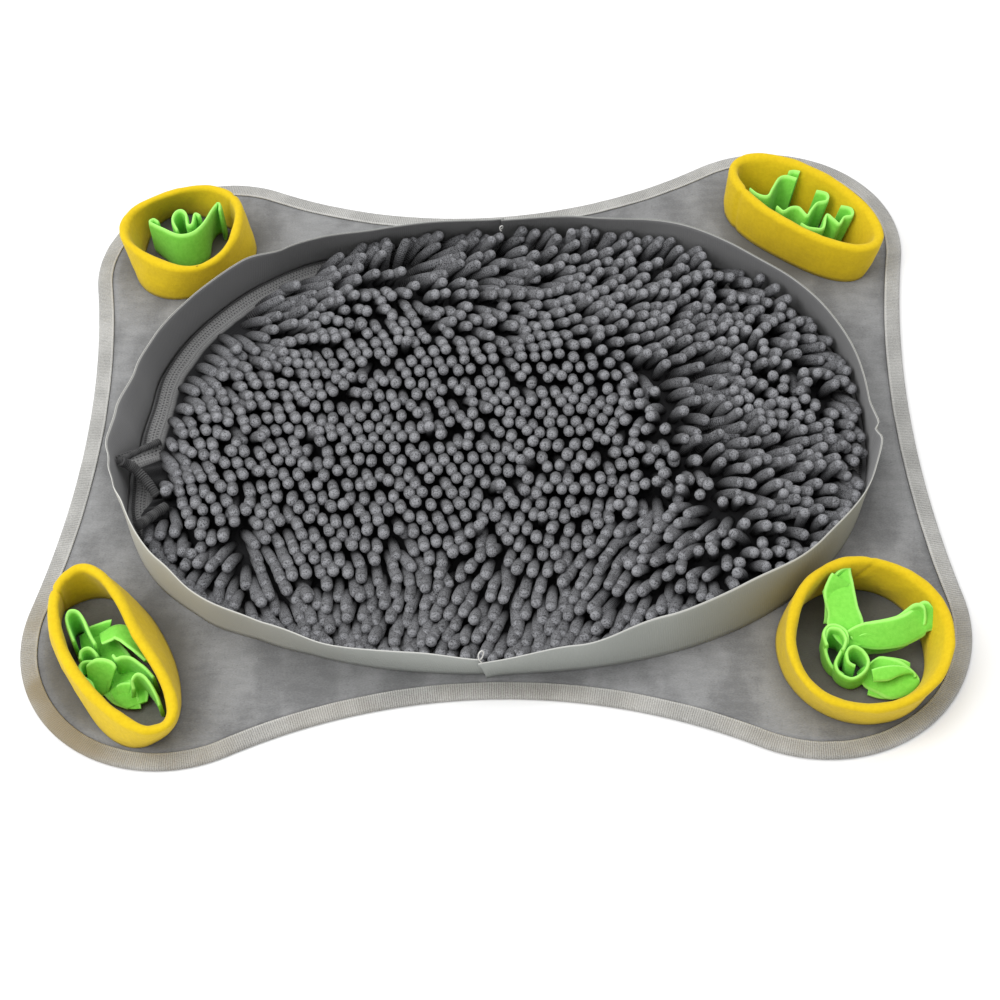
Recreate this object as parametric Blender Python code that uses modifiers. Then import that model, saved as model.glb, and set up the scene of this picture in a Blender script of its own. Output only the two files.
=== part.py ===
"""Snuffle mat: a lobed cloth base with a bound edge, a shaggy oval pad inside a
standing cloth wall, and a fleece ring with folded fleece strips in each corner.

Blender 4.5, metres, +Z up. The origin is on the floor under the middle of the
base. Run it with: blender --background --python part.py
"""
import math
import random
from collections import namedtuple

import bmesh
import bpy
from mathutils import Matrix, Vector

MM = 0.001
GAP = 0.3 * MM                 # what two pieces that touch keep between them
SHARP_EDGE = 40                # degrees of fold above which an edge is shaded sharp

# ---- base and its edge tape -------------------------------------------------
BASE_THICKNESS = 3.0 * MM
TONGUE_LOW = 1.3 * MM          # the rim is pressed thinner inside the tape
TONGUE_HIGH = 2.7 * MM
TAPE_WIDTH = 11.0 * MM
TAPE_THICKNESS = 1.0 * MM
TAPE_HEIGHT = 4.0 * MM
TAPE_EDGE_ROUND = 0.7 * MM
LOBE_STEPS = 12
WAIST_STEPS = 8

Lobe = namedtuple("Lobe", "x y radius")
LOBES = (                      # corner arcs, counterclockwise, millimetres
    Lobe(x=201, y=-169, radius=98),
    Lobe(x=206.5, y=168.5, radius=95.5),
    Lobe(x=-205.5, y=154, radius=90.5),
    Lobe(x=-207, y=-169, radius=97),
)
WAIST_RADII = (831, 340, 731, 376)   # inward arcs right, back, left and front

# ---- standing wall round the pad --------------------------------------------
WALL_CENTRE = (2.0 * MM, -13.0 * MM)
WALL_HALF_LENGTH = 250.0 * MM
WALL_HALF_DEPTH = 190.0 * MM
WALL_SQUARENESS = 2.25
WALL_WIDTH = 40.0 * MM         # height of the webbing when it stands straight
WALL_THICKNESS = 1.6 * MM
WALL_FOOT = BASE_THICKNESS + GAP
WALL_STEPS = 46
WALL_BEND = 1.5                # above 1 the foot stays upright and the top leans
WALL_LEVELS = (0.0, 0.5, 1.0)  # shares of the height at which a section has points
WALL_NUDGE = 0.5               # degrees either way, to read the wall's direction
WALL_FRONT_JOIN = -92.5        # bearings of the two joins, degrees
WALL_BACK_JOIN = 89.0
WALL_JOIN_SLANT = -2.8         # the cut ends slope, degrees of bearing
WALL_JOIN_GAP = 0.12           # degrees of bearing left open at a join

Reading = namedtuple("Reading", "bearing outward")
WALL_BOWS = (                  # how far the foot stands outside the oval, mm
    Reading(bearing=-180, outward=-2),
    Reading(bearing=-172, outward=4),
    Reading(bearing=-165, outward=8.5),
    Reading(bearing=-153, outward=10.5),
    Reading(bearing=-143, outward=7.8),
    Reading(bearing=-132, outward=1.7),
    Reading(bearing=-124, outward=0),
    Reading(bearing=116, outward=0),
    Reading(bearing=130, outward=4.5),
    Reading(bearing=139, outward=2.5),
    Reading(bearing=152, outward=0),
    Reading(bearing=165, outward=-1),
    Reading(bearing=173, outward=-4),
    Reading(bearing=180, outward=-2),
)
WALL_LEANS = (                 # how far the top edge stands out from the foot, mm
    Reading(bearing=-180, outward=10.5),
    Reading(bearing=-175, outward=9),
    Reading(bearing=-168, outward=2),
    Reading(bearing=-162, outward=0),
    Reading(bearing=-150, outward=0.5),
    Reading(bearing=-143, outward=5),
    Reading(bearing=-130, outward=9),
    Reading(bearing=-120, outward=12),
    Reading(bearing=-105, outward=8),
    Reading(bearing=-90, outward=10),
    Reading(bearing=-75, outward=5),
    Reading(bearing=-60, outward=-3),
    Reading(bearing=-45, outward=-6),
    Reading(bearing=-30, outward=-1),
    Reading(bearing=-15, outward=4),
    Reading(bearing=-7, outward=7),
    Reading(bearing=0, outward=-1),
    Reading(bearing=20, outward=-6),
    Reading(bearing=35, outward=-8),
    Reading(bearing=50, outward=-2),
    Reading(bearing=70, outward=-7),
    Reading(bearing=90, outward=-10),
    Reading(bearing=110, outward=-9),
    Reading(bearing=128, outward=-14),
    Reading(bearing=135, outward=-12),
    Reading(bearing=143, outward=-5),
    Reading(bearing=155, outward=-4),
    Reading(bearing=165, outward=-0.5),
    Reading(bearing=172, outward=4),
    Reading(bearing=180, outward=10.5),
)

# ---- shaggy pad -------------------------------------------------------------
PAD_FOOT = BASE_THICKNESS + GAP
PAD_GROUND_THICKNESS = 2.2 * MM
PAD_GROUND_INSET = 3.5 * MM    # ground cloth stops this far inside the wall's foot
PAD_GROUND_STEPS = 72
PAD_PILE_INSET = 17.0 * MM     # the slab's side, from which the rim locks reach out
PAD_PILE_SHIFT = 3.0 * MM      # the pile sits to the right, so the ground shows left
PAD_CELLS_LONG = 54
PAD_CELLS_DEEP = 40
PAD_SQUARING = 0.46            # how far the grid is drawn in to fill the oval
PAD_TIP_HEIGHT = 25.0 * MM     # above the pad's foot
PAD_SADDLE_HEIGHT = 18.0 * MM
PAD_VALLEY_HEIGHT = 14.0 * MM
PAD_RIM_HEIGHT = 13.0 * MM
PAD_HEIGHT_VARIATION = 2.4 * MM
PAD_SIDE_VARIATION = 1.1 * MM
SADDLE_PUSH = 0.5              # share of a tip's push that the points round it take
VALLEY_PUSH = 0.2
PAD_SEED = 11
LOCK_EVERY = 2                 # a lock on every second face of the slab's side
LOCK_MARGIN = 1.0 * MM
LOCK_REACH = 8.5 * MM
LOCK_RISE = 4.0 * MM
LOCK_TAPER = 0.75

Comb = namedtuple("Comb", "x y reach push_x push_y lift")
COMBS = (                      # where the pile is combed over, parted or sunk, mm
    Comb(x=120, y=110, reach=110, push_x=5, push_y=4, lift=1),
    Comb(x=185, y=10, reach=90, push_x=7, push_y=-1, lift=-1),
    Comb(x=60, y=-130, reach=110, push_x=0, push_y=-4, lift=0),
    Comb(x=-150, y=110, reach=80, push_x=-3, push_y=3, lift=-1),
    Comb(x=137, y=24, reach=22, push_x=4, push_y=0, lift=-6),
    Comb(x=-12, y=-30, reach=16, push_x=0, push_y=0, lift=-6),
    Comb(x=-14, y=10, reach=16, push_x=0, push_y=0, lift=-5),
)

# ---- fleece rings -----------------------------------------------------------
RING_FOOT = BASE_THICKNESS + GAP
RING_HEIGHT = 34.0 * MM
RING_THICKNESS = 7.2 * MM      # both layers and the space between them
RING_LAYER = 2.4 * MM
RING_BULGE = 0.5 * MM
RING_STEPS = 30
RING_HEIGHT_WAVE = 1.2 * MM
RING_RISES = 2                 # times a ring's rim rises and falls on its way round
RING_BENDS = 3                 # times it bends out and in
RING_SHOULDER = 3.4 * MM       # the soft fold starts this far below the rim
RING_CREST = 0.9 * MM
RING_CREST_SHARE = 0.68        # of half the thickness, where the fold turns over
RING_HOLLOW_TOP = 3.2 * MM
RING_HOLLOW_SHARE = 0.6
RUN_NUDGE = 0.02               # radians either way, to read a ring's direction

# A ring's middle line: a squared oval at its foot and another at its rim, with the
# heading of its length and the size and turn of its bends. Millimetres and degrees.
Oval = namedtuple("Oval", "x y half_length half_width heading wave wave_turn")
Ring = namedtuple("Ring", "name squareness foot rim")
RINGS = (
    Ring("ring_front_left", 2.5,
         foot=Oval(-240, -190.5, 60, 29, -60, 2.0, 143),
         rim=Oval(-238, -199, 66.5, 21.5, -58.5, 3.9, 13)),
    Ring("ring_front_right", 2.1,
         foot=Oval(223.5, -192, 45.5, 49.5, 6, 0.6, -62),
         rim=Oval(227.5, -199.5, 48, 54, -19.5, 0.7, 76)),
    Ring("ring_back_left", 1.9,
         foot=Oval(-227.5, 171.5, 42, 44, 13.5, 3.5, 136),
         rim=Oval(-228, 167.5, 42.5, 41.5, 18, 2.9, -24)),
    Ring("ring_back_right", 2.05,
         foot=Oval(224, 174, 58.5, 24.5, -43, 1.6, 138),
         rim=Oval(229.5, 178.5, 64, 28.5, -44.5, 0.0, 0)),
)

# ---- fleece strips in the rings ---------------------------------------------
FLEECE_THICKNESS = 2.2 * MM
FLEECE_STEPS = 3               # stations between two rows of a table

# A strip's row: its middle line's place, how far its upper edge leans to the left
# of its run, and the heights of its two long edges above the floor, all in mm.
Fold = namedtuple("Fold", "x y lean low high")
FLOOR_SEAT = 3.8               # lower edge of a strip that stands on the base
STRIPS = {
    "fleece_front_right_up": (
        Fold(215, -183, 16, FLOOR_SEAT + 1, 12),
        Fold(216.5, -178, 25, 9, 14),
        Fold(215, -170, 21, 15, 21),
        Fold(213.5, -164.5, 18, 22, 28),
        Fold(214, -160.5, 15, 28, 33),
        Fold(215.5, -157.5, 12, 31, 35.5),
    ),
    "fleece_front_right_side": (
        Fold(221, -197, 9, FLOOR_SEAT + 0.4, 22),
        Fold(229, -190.5, 12, 6, 22.5),
        Fold(239, -189, 13, 6, 23),
        Fold(249, -188, 12, 8, 27),
        Fold(256, -185, 11, 11, 32),
        Fold(260.5, -182, 7, 14, 35),
        Fold(263.3, -184.5, 2, 14, 31),
        Fold(263.8, -188, 0, 13, 26),
    ),
    "fleece_front_right_low": (
        Fold(228, -220, 9, FLOOR_SEAT + 0.6, 6),
        Fold(236, -222, 11, FLOOR_SEAT + 0.6, 7),
        Fold(246, -221.5, 11, FLOOR_SEAT + 0.6, 7.5),
        Fold(253, -217.5, 9, FLOOR_SEAT + 0.6, 8),
    ),
    "fleece_front_right_top": (
        Fold(231, -209, 10, 9, 12),
        Fold(238, -211, 15, 9.5, 14),
        Fold(247, -212, 15, 10, 14),
        Fold(253, -213, 11, 10.5, 13),
    ),
    "fleece_front_right_knot": (
        Fold(212, -204, 0, FLOOR_SEAT, 25),
        Fold(214.5, -197, 0, FLOOR_SEAT, 26),
        Fold(211.5, -190.5, 0, FLOOR_SEAT, 26.5),
        Fold(205.5, -189, 0, FLOOR_SEAT, 26),
        Fold(202.5, -194, 0, FLOOR_SEAT, 24),
        Fold(202.5, -202, 0, FLOOR_SEAT, 19),
        Fold(206, -209, 0, FLOOR_SEAT, 14),
        Fold(213, -213, 0, FLOOR_SEAT, 10),
    ),
    "fleece_front_left_channel": (
        Fold(-250, -188.5, 0, FLOOR_SEAT, 24),
        Fold(-254.4, -181.4, 0, FLOOR_SEAT, 26),
        Fold(-259, -172, 0, FLOOR_SEAT, 28),
        Fold(-263, -167, 0, FLOOR_SEAT, 29),
        Fold(-267.5, -167, 0, FLOOR_SEAT, 30),
        Fold(-269.5, -171, 0, FLOOR_SEAT, 29),
        Fold(-268, -177, 0, FLOOR_SEAT, 28),
        Fold(-263.5, -187, 0, FLOOR_SEAT, 26),
    ),
    "fleece_front_left_loop": (
        Fold(-259, -197.5, 0, FLOOR_SEAT, 22),
        Fold(-258.5, -193.5, 0, FLOOR_SEAT, 24),
        Fold(-255.5, -191.5, 0, FLOOR_SEAT, 25),
        Fold(-252.2, -192, 0, FLOOR_SEAT, 25),
        Fold(-249.5, -194.3, 0, FLOOR_SEAT, 24),
        Fold(-248, -196.3, 0, FLOOR_SEAT, 22),
    ),
    "fleece_front_left_arch": (
        Fold(-254, -206, 6, FLOOR_SEAT + 0.3, 23),
        Fold(-251, -206.5, 10, FLOOR_SEAT + 0.4, 25),
        Fold(-246.5, -207, 13, FLOOR_SEAT + 0.6, 26),
        Fold(-241.5, -207.5, 13, FLOOR_SEAT + 0.6, 26),
        Fold(-239, -209.5, 11, FLOOR_SEAT + 0.6, 22),
    ),
    "fleece_front_left_low": (
        Fold(-235.5, -216, 9, FLOOR_SEAT + 0.4, 11),
        Fold(-232, -215.5, 11, FLOOR_SEAT + 0.5, 13),
        Fold(-228, -216.5, 11, FLOOR_SEAT + 0.5, 14),
    ),
    "fleece_front_left_wave": (
        Fold(-248, -182, -11, 17, 22),
        Fold(-243.5, -180.5, -13, 18, 24),
        Fold(-237.5, -179, -14, 20, 26),
        Fold(-231.3, -182.3, -12.8, 20, 26),
        Fold(-225.5, -189.2, -8.5, 19, 26),
        Fold(-221.3, -194.5, -5, 18, 25),
        Fold(-216.8, -199, -3, 17, 22),
    ),
    "fleece_front_left_inner": (
        Fold(-238, -196.5, 0, FLOOR_SEAT, 24),
        Fold(-235, -200.5, 0, FLOOR_SEAT, 26),
        Fold(-231.4, -200, 0, FLOOR_SEAT, 27),
        Fold(-226.7, -200.5, 0, FLOOR_SEAT, 27),
        Fold(-221.5, -203.5, 0, FLOOR_SEAT, 27),
        Fold(-216, -208, 0, FLOOR_SEAT, 26),
        Fold(-211, -213, 0, FLOOR_SEAT, 24),
    ),
    "fleece_front_left_hook": (
        Fold(-224.5, -219, -3, FLOOR_SEAT, 20),
        Fold(-224.5, -215.5, -2, FLOOR_SEAT, 25),
        Fold(-221, -212.7, 0, FLOOR_SEAT, 27),
        Fold(-216.5, -214, 0, FLOOR_SEAT, 27),
        Fold(-212, -219, 0, FLOOR_SEAT, 26),
        Fold(-208, -225.5, 0, FLOOR_SEAT, 22),
        Fold(-206.5, -229.5, 0, FLOOR_SEAT, 18),
    ),
    "fleece_back_left_cup": (
        Fold(-248.5, 175.5, 0, FLOOR_SEAT, 33),
        Fold(-252, 177.5, 0, FLOOR_SEAT, 34),
        Fold(-254.5, 174.5, 0, FLOOR_SEAT, 34),
        Fold(-250.5, 171, 1, FLOOR_SEAT, 34),
        Fold(-241, 163, 4, FLOOR_SEAT, 34),
        Fold(-234.5, 158.5, 5, FLOOR_SEAT, 34),
        Fold(-228, 157.8, 5, FLOOR_SEAT, 34),
        Fold(-221.5, 160, 5, FLOOR_SEAT, 34),
        Fold(-216, 165.5, 3, FLOOR_SEAT, 35),
        Fold(-213.5, 172.5, -1, FLOOR_SEAT, 36),
        Fold(-211.5, 182, -5, FLOOR_SEAT, 37),
        Fold(-207.5, 190, -5, FLOOR_SEAT, 37),
        Fold(-203.5, 189.5, -1, FLOOR_SEAT, 37),
        Fold(-203.5, 184, 0, FLOOR_SEAT, 36),
    ),
    "fleece_back_left_loop": (
        Fold(-233.5, 166.5, 0, FLOOR_SEAT, 33),
        Fold(-237.5, 174.8, 0, FLOOR_SEAT, 35),
        Fold(-236, 182, 0, FLOOR_SEAT, 36),
        Fold(-232, 184.3, 0, FLOOR_SEAT, 36),
        Fold(-228, 180, 0, FLOOR_SEAT, 36),
        Fold(-226.5, 172, 0, FLOOR_SEAT, 34),
        Fold(-223, 171.5, 0, FLOOR_SEAT, 34),
        Fold(-221.5, 180.5, 0, FLOOR_SEAT, 36),
        Fold(-217.5, 178.5, 0, FLOOR_SEAT, 36),
    ),
    "fleece_back_right_first": (
        Fold(190.5, 196, 0, FLOOR_SEAT, 32),
        Fold(196.5, 189.5, 0, FLOOR_SEAT, 32),
        Fold(203.3, 188.3, 0, FLOOR_SEAT, 32),
        Fold(207.3, 195, 0, FLOOR_SEAT, 33),
        Fold(212.6, 204, 0, FLOOR_SEAT, 34),
        Fold(218, 206.5, 0, FLOOR_SEAT, 34),
        Fold(226, 203.5, 0, FLOOR_SEAT, 34),
    ),
    "fleece_back_right_back": (
        Fold(220.5, 209, 0, FLOOR_SEAT, 36),
        Fold(224.5, 210, 0, FLOOR_SEAT, 36),
        Fold(228.5, 208.5, 0, FLOOR_SEAT, 36),
    ),
    "fleece_back_right_second": (
        Fold(209, 178, 0, FLOOR_SEAT, 31),
        Fold(213, 173, 0, FLOOR_SEAT, 31),
        Fold(219, 176, 0, FLOOR_SEAT, 31),
        Fold(225, 175.5, 0, FLOOR_SEAT, 31),
        Fold(230, 168.5, 0, FLOOR_SEAT, 30),
        Fold(233.5, 173, 0, FLOOR_SEAT, 31),
        Fold(239, 179.5, 0, FLOOR_SEAT, 32),
        Fold(246, 181, 0, FLOOR_SEAT, 33),
        Fold(246.5, 187, 0, FLOOR_SEAT, 34),
        Fold(239, 190.5, 0, FLOOR_SEAT, 34),
    ),
    "fleece_back_right_third": (
        Fold(225, 160.5, 0, FLOOR_SEAT, 30),
        Fold(229, 156.5, 0, FLOOR_SEAT, 30),
        Fold(235.5, 154.5, 0, FLOOR_SEAT, 30),
        Fold(241, 156, 0, FLOOR_SEAT, 30),
        Fold(244.2, 167, 0, FLOOR_SEAT, 32),
        Fold(248.5, 163, 0, FLOOR_SEAT, 31),
        Fold(252.8, 159, 0, FLOOR_SEAT, 30),
        Fold(257, 165, 0, FLOOR_SEAT, 31),
        Fold(263, 166, 0, FLOOR_SEAT, 32),
        Fold(262.5, 171.5, 0, FLOOR_SEAT, 33),
        Fold(255, 174, 0, FLOOR_SEAT, 33),
    ),
}
# The ring whose strips lean as its wall does, and the name its strips begin with.
LEANING_RING = RINGS[3]
LEANING_STRIPS = "fleece_back_right"

# The pad's ground cloth turned up against the wall: its edge on the ground and its
# edge at the wall, from the back to the front, in mm.
Turned = namedtuple("Turned", "x y z wall_x wall_y wall_z")
EAR_ROWS = (
    Turned(-229, -14, 5.0, -247.5, -51, 34),
    Turned(-225, -34, 5.0, -241, -64, 29),
    Turned(-222, -53, 5.0, -236.5, -80, 27),
    Turned(-219, -72, 5.0, -231.5, -99, 27),
)
EAR_THICKNESS = 2.4 * MM

# ---- finishes: base colour, roughness ---------------------------------------
FINISHES = {
    "base_cloth": ((0.24, 0.24, 0.23), 0.95),
    "edge_tape": ((0.42, 0.41, 0.37), 0.85),
    "wall_webbing": ((0.27, 0.29, 0.28), 0.80),
    "chenille": ((0.11, 0.11, 0.12), 1.00),
    "yellow_fleece": ((0.80, 0.52, 0.03), 0.95),
    "green_fleece": ((0.18, 0.68, 0.10), 0.95),
}


def clear_scene():
    """Remove whatever the file opened with."""
    for thing in list(bpy.data.objects):
        bpy.data.objects.remove(thing, do_unlink=True)


def new_collection(name):
    """Make a collection and link it to the scene."""
    collection = bpy.data.collections.new(name)
    bpy.context.scene.collection.children.link(collection)
    return collection


def new_material(name, finish):
    """Make a Principled material for one node from one of the finishes."""
    colour, roughness = FINISHES[finish]
    material = bpy.data.materials.new(name)
    material.use_nodes = True
    shader = material.node_tree.nodes["Principled BSDF"]
    shader.inputs["Base Color"].default_value = (*colour, 1.0)
    shader.inputs["Roughness"].default_value = roughness
    shader.inputs["Metallic"].default_value = 0.0
    material.diffuse_color = (*colour, 1.0)
    return material


def add_object(name, data, collection, finish=None):
    """Link an object for the given mesh or curve, with its own material."""
    thing = bpy.data.objects.new(name, data)
    collection.objects.link(thing)
    if finish:
        data.materials.append(new_material(name + "_finish", finish))
    return thing


def add_mesh(name, bm, collection, finish=None):
    """Turn a bmesh into an object and free it."""
    bmesh.ops.recalc_face_normals(bm, faces=bm.faces)
    mesh = bpy.data.meshes.new(name)
    bm.to_mesh(mesh)
    bm.free()
    mesh.shade_smooth()
    mesh.set_sharp_from_angle(angle=math.radians(SHARP_EDGE))
    return add_object(name, mesh, collection, finish)


def as_guide(thing):
    """Mark a cutter, filler or profile, which is no piece of the mat."""
    thing.hide_render = True
    thing.display_type = "WIRE"
    return thing


def loft(sections, closed):
    """Skin a run of sections that each have the same number of points.

    The sections differ along the run. A closed run joins its last section to its
    first, and an open one is capped at both ends.
    """
    bm = bmesh.new()
    rings = [[bm.verts.new(point) for point in section] for section in sections]
    count = len(rings[0])
    pairs = list(zip(rings, rings[1:]))
    if closed:
        pairs.append((rings[-1], rings[0]))
    for ring, following in pairs:
        for here in range(count):
            there = (here + 1) % count
            bm.faces.new((ring[here], ring[there], following[there], following[here]))
    if not closed:
        bm.faces.new(list(reversed(rings[0])))
        bm.faces.new(rings[-1])
    return bm


# ---- outlines ---------------------------------------------------------------
def tangent_centre(lobe, following, radius):
    """Centre of the waist arc that touches two corner arcs from outside."""
    start = Vector((lobe.x, lobe.y))
    chord = Vector((following.x, following.y)) - start
    to_start = lobe.radius + radius
    to_end = following.radius + radius
    along = (chord.length_squared + to_start ** 2 - to_end ** 2) / (2 * chord.length)
    aside = math.sqrt(to_start ** 2 - along ** 2)
    run = chord.normalized()
    outward = Vector((run.y, -run.x))
    return start + run * along + outward * aside


def arc(centre, radius, start, end, steps):
    """Points of an arc without its last one, angles in radians."""
    return [(centre.x + radius * math.cos(start + (end - start) * step / steps),
             centre.y + radius * math.sin(start + (end - start) * step / steps))
            for step in range(steps)]


def base_outline(inset):
    """The mat's outline in metres, drawn in by inset, counterclockwise."""
    inset_mm = inset / MM
    centres = [tangent_centre(LOBES[i], LOBES[(i + 1) % 4], WAIST_RADII[i])
               for i in range(4)]
    points = []
    for i, lobe in enumerate(LOBES):
        middle = Vector((lobe.x, lobe.y))
        before = centres[i - 1] - middle
        after = centres[i] - middle
        start = math.atan2(before.y, before.x)
        end = math.atan2(after.y, after.x)
        if end < start:
            end += math.tau
        points += arc(middle, lobe.radius - inset_mm, start, end, LOBE_STEPS)
        following = LOBES[(i + 1) % 4]
        onward = Vector((following.x, following.y)) - centres[i]
        start = math.atan2(-after.y, -after.x)
        end = math.atan2(onward.y, onward.x)
        if end > start:
            end -= math.tau
        points += arc(centres[i], WAIST_RADII[i] + inset_mm, start, end, WAIST_STEPS)
    return [(x * MM, y * MM) for x, y in points]


def oval_point(bearing, half_length, half_depth, squareness):
    """A point of a squared oval about the origin, bearing in radians."""
    cosine, sine = math.cos(bearing), math.sin(bearing)
    power = 2.0 / squareness
    return Vector((half_length * math.copysign(abs(cosine) ** power, cosine),
                   half_depth * math.copysign(abs(sine) ** power, sine)))


def bearing_parameter(bearing, half_length, half_depth, squareness):
    """The oval's parameter for a true bearing from its centre, in radians."""
    cosine, sine = math.cos(bearing), math.sin(bearing)
    across = math.copysign(abs(cosine / half_length) ** (squareness / 2), cosine)
    along = math.copysign(abs(sine / half_depth) ** (squareness / 2), sine)
    return math.atan2(along, across)


def smooth_reading(table, bearing_degrees):
    """Smoothed reading of a table of bearings, metres."""
    bearing = (bearing_degrees + 180.0) % 360.0 - 180.0
    for low, high in zip(table, table[1:]):
        if low.bearing <= bearing <= high.bearing:
            share = (bearing - low.bearing) / (high.bearing - low.bearing)
            share = share * share * (3.0 - 2.0 * share)
            return (low.outward + (high.outward - low.outward) * share) * MM
    return table[0].outward * MM


def wall_foot(bearing, inset):
    """Point of the wall's foot line at a bearing, and the outward direction."""
    def on_oval(angle):
        parameter = bearing_parameter(angle, WALL_HALF_LENGTH, WALL_HALF_DEPTH,
                                      WALL_SQUARENESS)
        return oval_point(parameter, WALL_HALF_LENGTH, WALL_HALF_DEPTH, WALL_SQUARENESS)

    nudge = math.radians(WALL_NUDGE)
    run = on_oval(bearing + nudge) - on_oval(bearing - nudge)
    outward = Vector((run.y, -run.x)).normalized()
    bow = smooth_reading(WALL_BOWS, math.degrees(bearing))
    return on_oval(bearing) + Vector(WALL_CENTRE) + outward * (bow - inset), outward


# ---- pieces -----------------------------------------------------------------
def make_base(parts):
    """Flat lobed cloth with a thinner rim for the tape."""
    step = TAPE_WIDTH + GAP
    rim = TAPE_THICKNESS + GAP
    levels = (
        (step, 0.0),
        (step, TONGUE_LOW),
        (rim, TONGUE_LOW),
        (rim, TONGUE_HIGH),
        (step, TONGUE_HIGH),
        (step, BASE_THICKNESS),
    )
    sections = [[(x, y, height) for x, y in base_outline(inset)]
                for inset, height in levels]
    return add_mesh("base_mat", loft(sections, closed=False), parts, "base_cloth")


def make_edge_tape(parts, guides):
    """Tape folded round the edge: a U section swept along the outline."""
    edge = TAPE_EDGE_ROUND
    inner = TAPE_THICKNESS
    profile_points = (
        (TAPE_WIDTH, 0.0),
        (edge, 0.0),
        (0.0, edge),
        (0.0, TAPE_HEIGHT - edge),
        (edge, TAPE_HEIGHT),
        (TAPE_WIDTH, TAPE_HEIGHT),
        (TAPE_WIDTH, TAPE_HEIGHT - inner),
        (inner, TAPE_HEIGHT - inner),
        (inner, inner),
        (TAPE_WIDTH, inner),
    )
    profile = new_polyline("edge_tape_profile",
                           [(-x, y, 0.0) for x, y in reversed(profile_points)])
    profile_object = as_guide(add_object("edge_tape_profile", profile, guides))
    path = new_polyline("edge_binding", [(x, y, 0.0) for x, y in base_outline(0.0)])
    path.twist_mode = "Z_UP"
    path.bevel_mode = "OBJECT"
    path.bevel_object = profile_object
    return add_object("edge_binding", path, parts, "edge_tape")


def new_polyline(name, points):
    """A closed curve through the given points."""
    curve = bpy.data.curves.new(name, "CURVE")
    curve.dimensions = "3D"
    spline = curve.splines.new("POLY")
    spline.points.add(len(points) - 1)
    for target, point in zip(spline.points, points):
        target.co = (*point, 1.0)
    spline.use_cyclic_u = True
    return curve


def wall_section(foot_bearing, top_bearing):
    """Closed section of the wall, from its inner foot over the top and back."""
    inner, outer = [], []
    for share in WALL_LEVELS:
        degrees = foot_bearing + (top_bearing - foot_bearing) * share
        foot, outward = wall_foot(math.radians(degrees), 0.0)
        lean = smooth_reading(WALL_LEANS, degrees)
        rise = math.sqrt(WALL_WIDTH ** 2 - lean ** 2) * share
        place = foot + outward * lean * share ** WALL_BEND
        half = outward * WALL_THICKNESS / 2
        inner.append((*(place - half), WALL_FOOT + rise))
        outer.append((*(place + half), WALL_FOOT + rise))
    return inner + list(reversed(outer))


def make_wall(name, start, end, slant_start, slant_end, parts):
    """One half of the standing wall, between two bearings in degrees."""
    sections = []
    for step in range(WALL_STEPS + 1):
        share = step / WALL_STEPS
        foot_bearing = start + (end - start) * share
        slant = slant_start + (slant_end - slant_start) * share
        sections.append(wall_section(foot_bearing, foot_bearing + slant))
    return add_mesh(name, loft(sections, closed=False), parts, "wall_webbing")


def combed(x, y):
    """Push and lift of the pile at a place, metres."""
    push = Vector((0.0, 0.0))
    lift = 0.0
    for comb in COMBS:
        away = math.hypot(x / MM - comb.x, y / MM - comb.y) / comb.reach
        weight = math.exp(-away * away)
        push += Vector((comb.push_x, comb.push_y)) * weight * MM
        lift += comb.lift * weight * MM
    return push, lift


def pad_slab():
    """Lumpy slab: an oval grid with a tip at every second point both ways."""
    bm = bmesh.new()
    bmesh.ops.create_grid(bm, x_segments=PAD_CELLS_LONG, y_segments=PAD_CELLS_DEEP,
                          size=1.0)
    chance = random.Random(PAD_SEED)
    half_length = WALL_HALF_LENGTH - PAD_PILE_INSET
    half_depth = WALL_HALF_DEPTH - PAD_PILE_INSET
    for vert in bm.verts:
        u, v = vert.co.x, vert.co.y
        column = round((u + 1) / 2 * PAD_CELLS_LONG)
        row = round((v + 1) / 2 * PAD_CELLS_DEEP)
        x = half_length * u * math.sqrt(1 - PAD_SQUARING * v * v)
        y = half_depth * v * math.sqrt(1 - PAD_SQUARING * u * u)
        push, lift = combed(x, y)
        on_rim = vert.is_boundary
        if on_rim:
            height = PAD_RIM_HEIGHT
            push = Vector((0.0, 0.0))
            lift = 0.0
        elif column % 2 and row % 2:
            height = PAD_TIP_HEIGHT
        elif column % 2 or row % 2:
            height = PAD_SADDLE_HEIGHT
            push *= SADDLE_PUSH
        else:
            height = PAD_VALLEY_HEIGHT
            push *= VALLEY_PUSH
        side = 0.0 if on_rim else PAD_SIDE_VARIATION
        vert.co = (
            x + push.x + chance.uniform(-side, side) + WALL_CENTRE[0] + PAD_PILE_SHIFT,
            y + push.y + chance.uniform(-side, side) + WALL_CENTRE[1],
            PAD_FOOT + height + lift
            + chance.uniform(-PAD_HEIGHT_VARIATION, PAD_HEIGHT_VARIATION) / 2,
        )
    return bm


def close_slab(bm):
    """Draw the slab's rim down to the ground cloth and close it underneath.

    Returns the faces of its side.
    """
    rim = [edge for edge in bm.edges if edge.is_boundary]
    made = bmesh.ops.extrude_edge_only(bm, edges=rim)["geom"]
    low_verts = [item for item in made if isinstance(item, bmesh.types.BMVert)]
    side = [item for item in made if isinstance(item, bmesh.types.BMFace)]
    for vert in low_verts:
        vert.co.z = PAD_FOOT + PAD_GROUND_THICKNESS / 2
    open_edges = [edge for edge in bm.edges if edge.is_boundary]
    bmesh.ops.holes_fill(bm, edges=open_edges, sides=0)
    bmesh.ops.recalc_face_normals(bm, faces=bm.faces)
    return side


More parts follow.
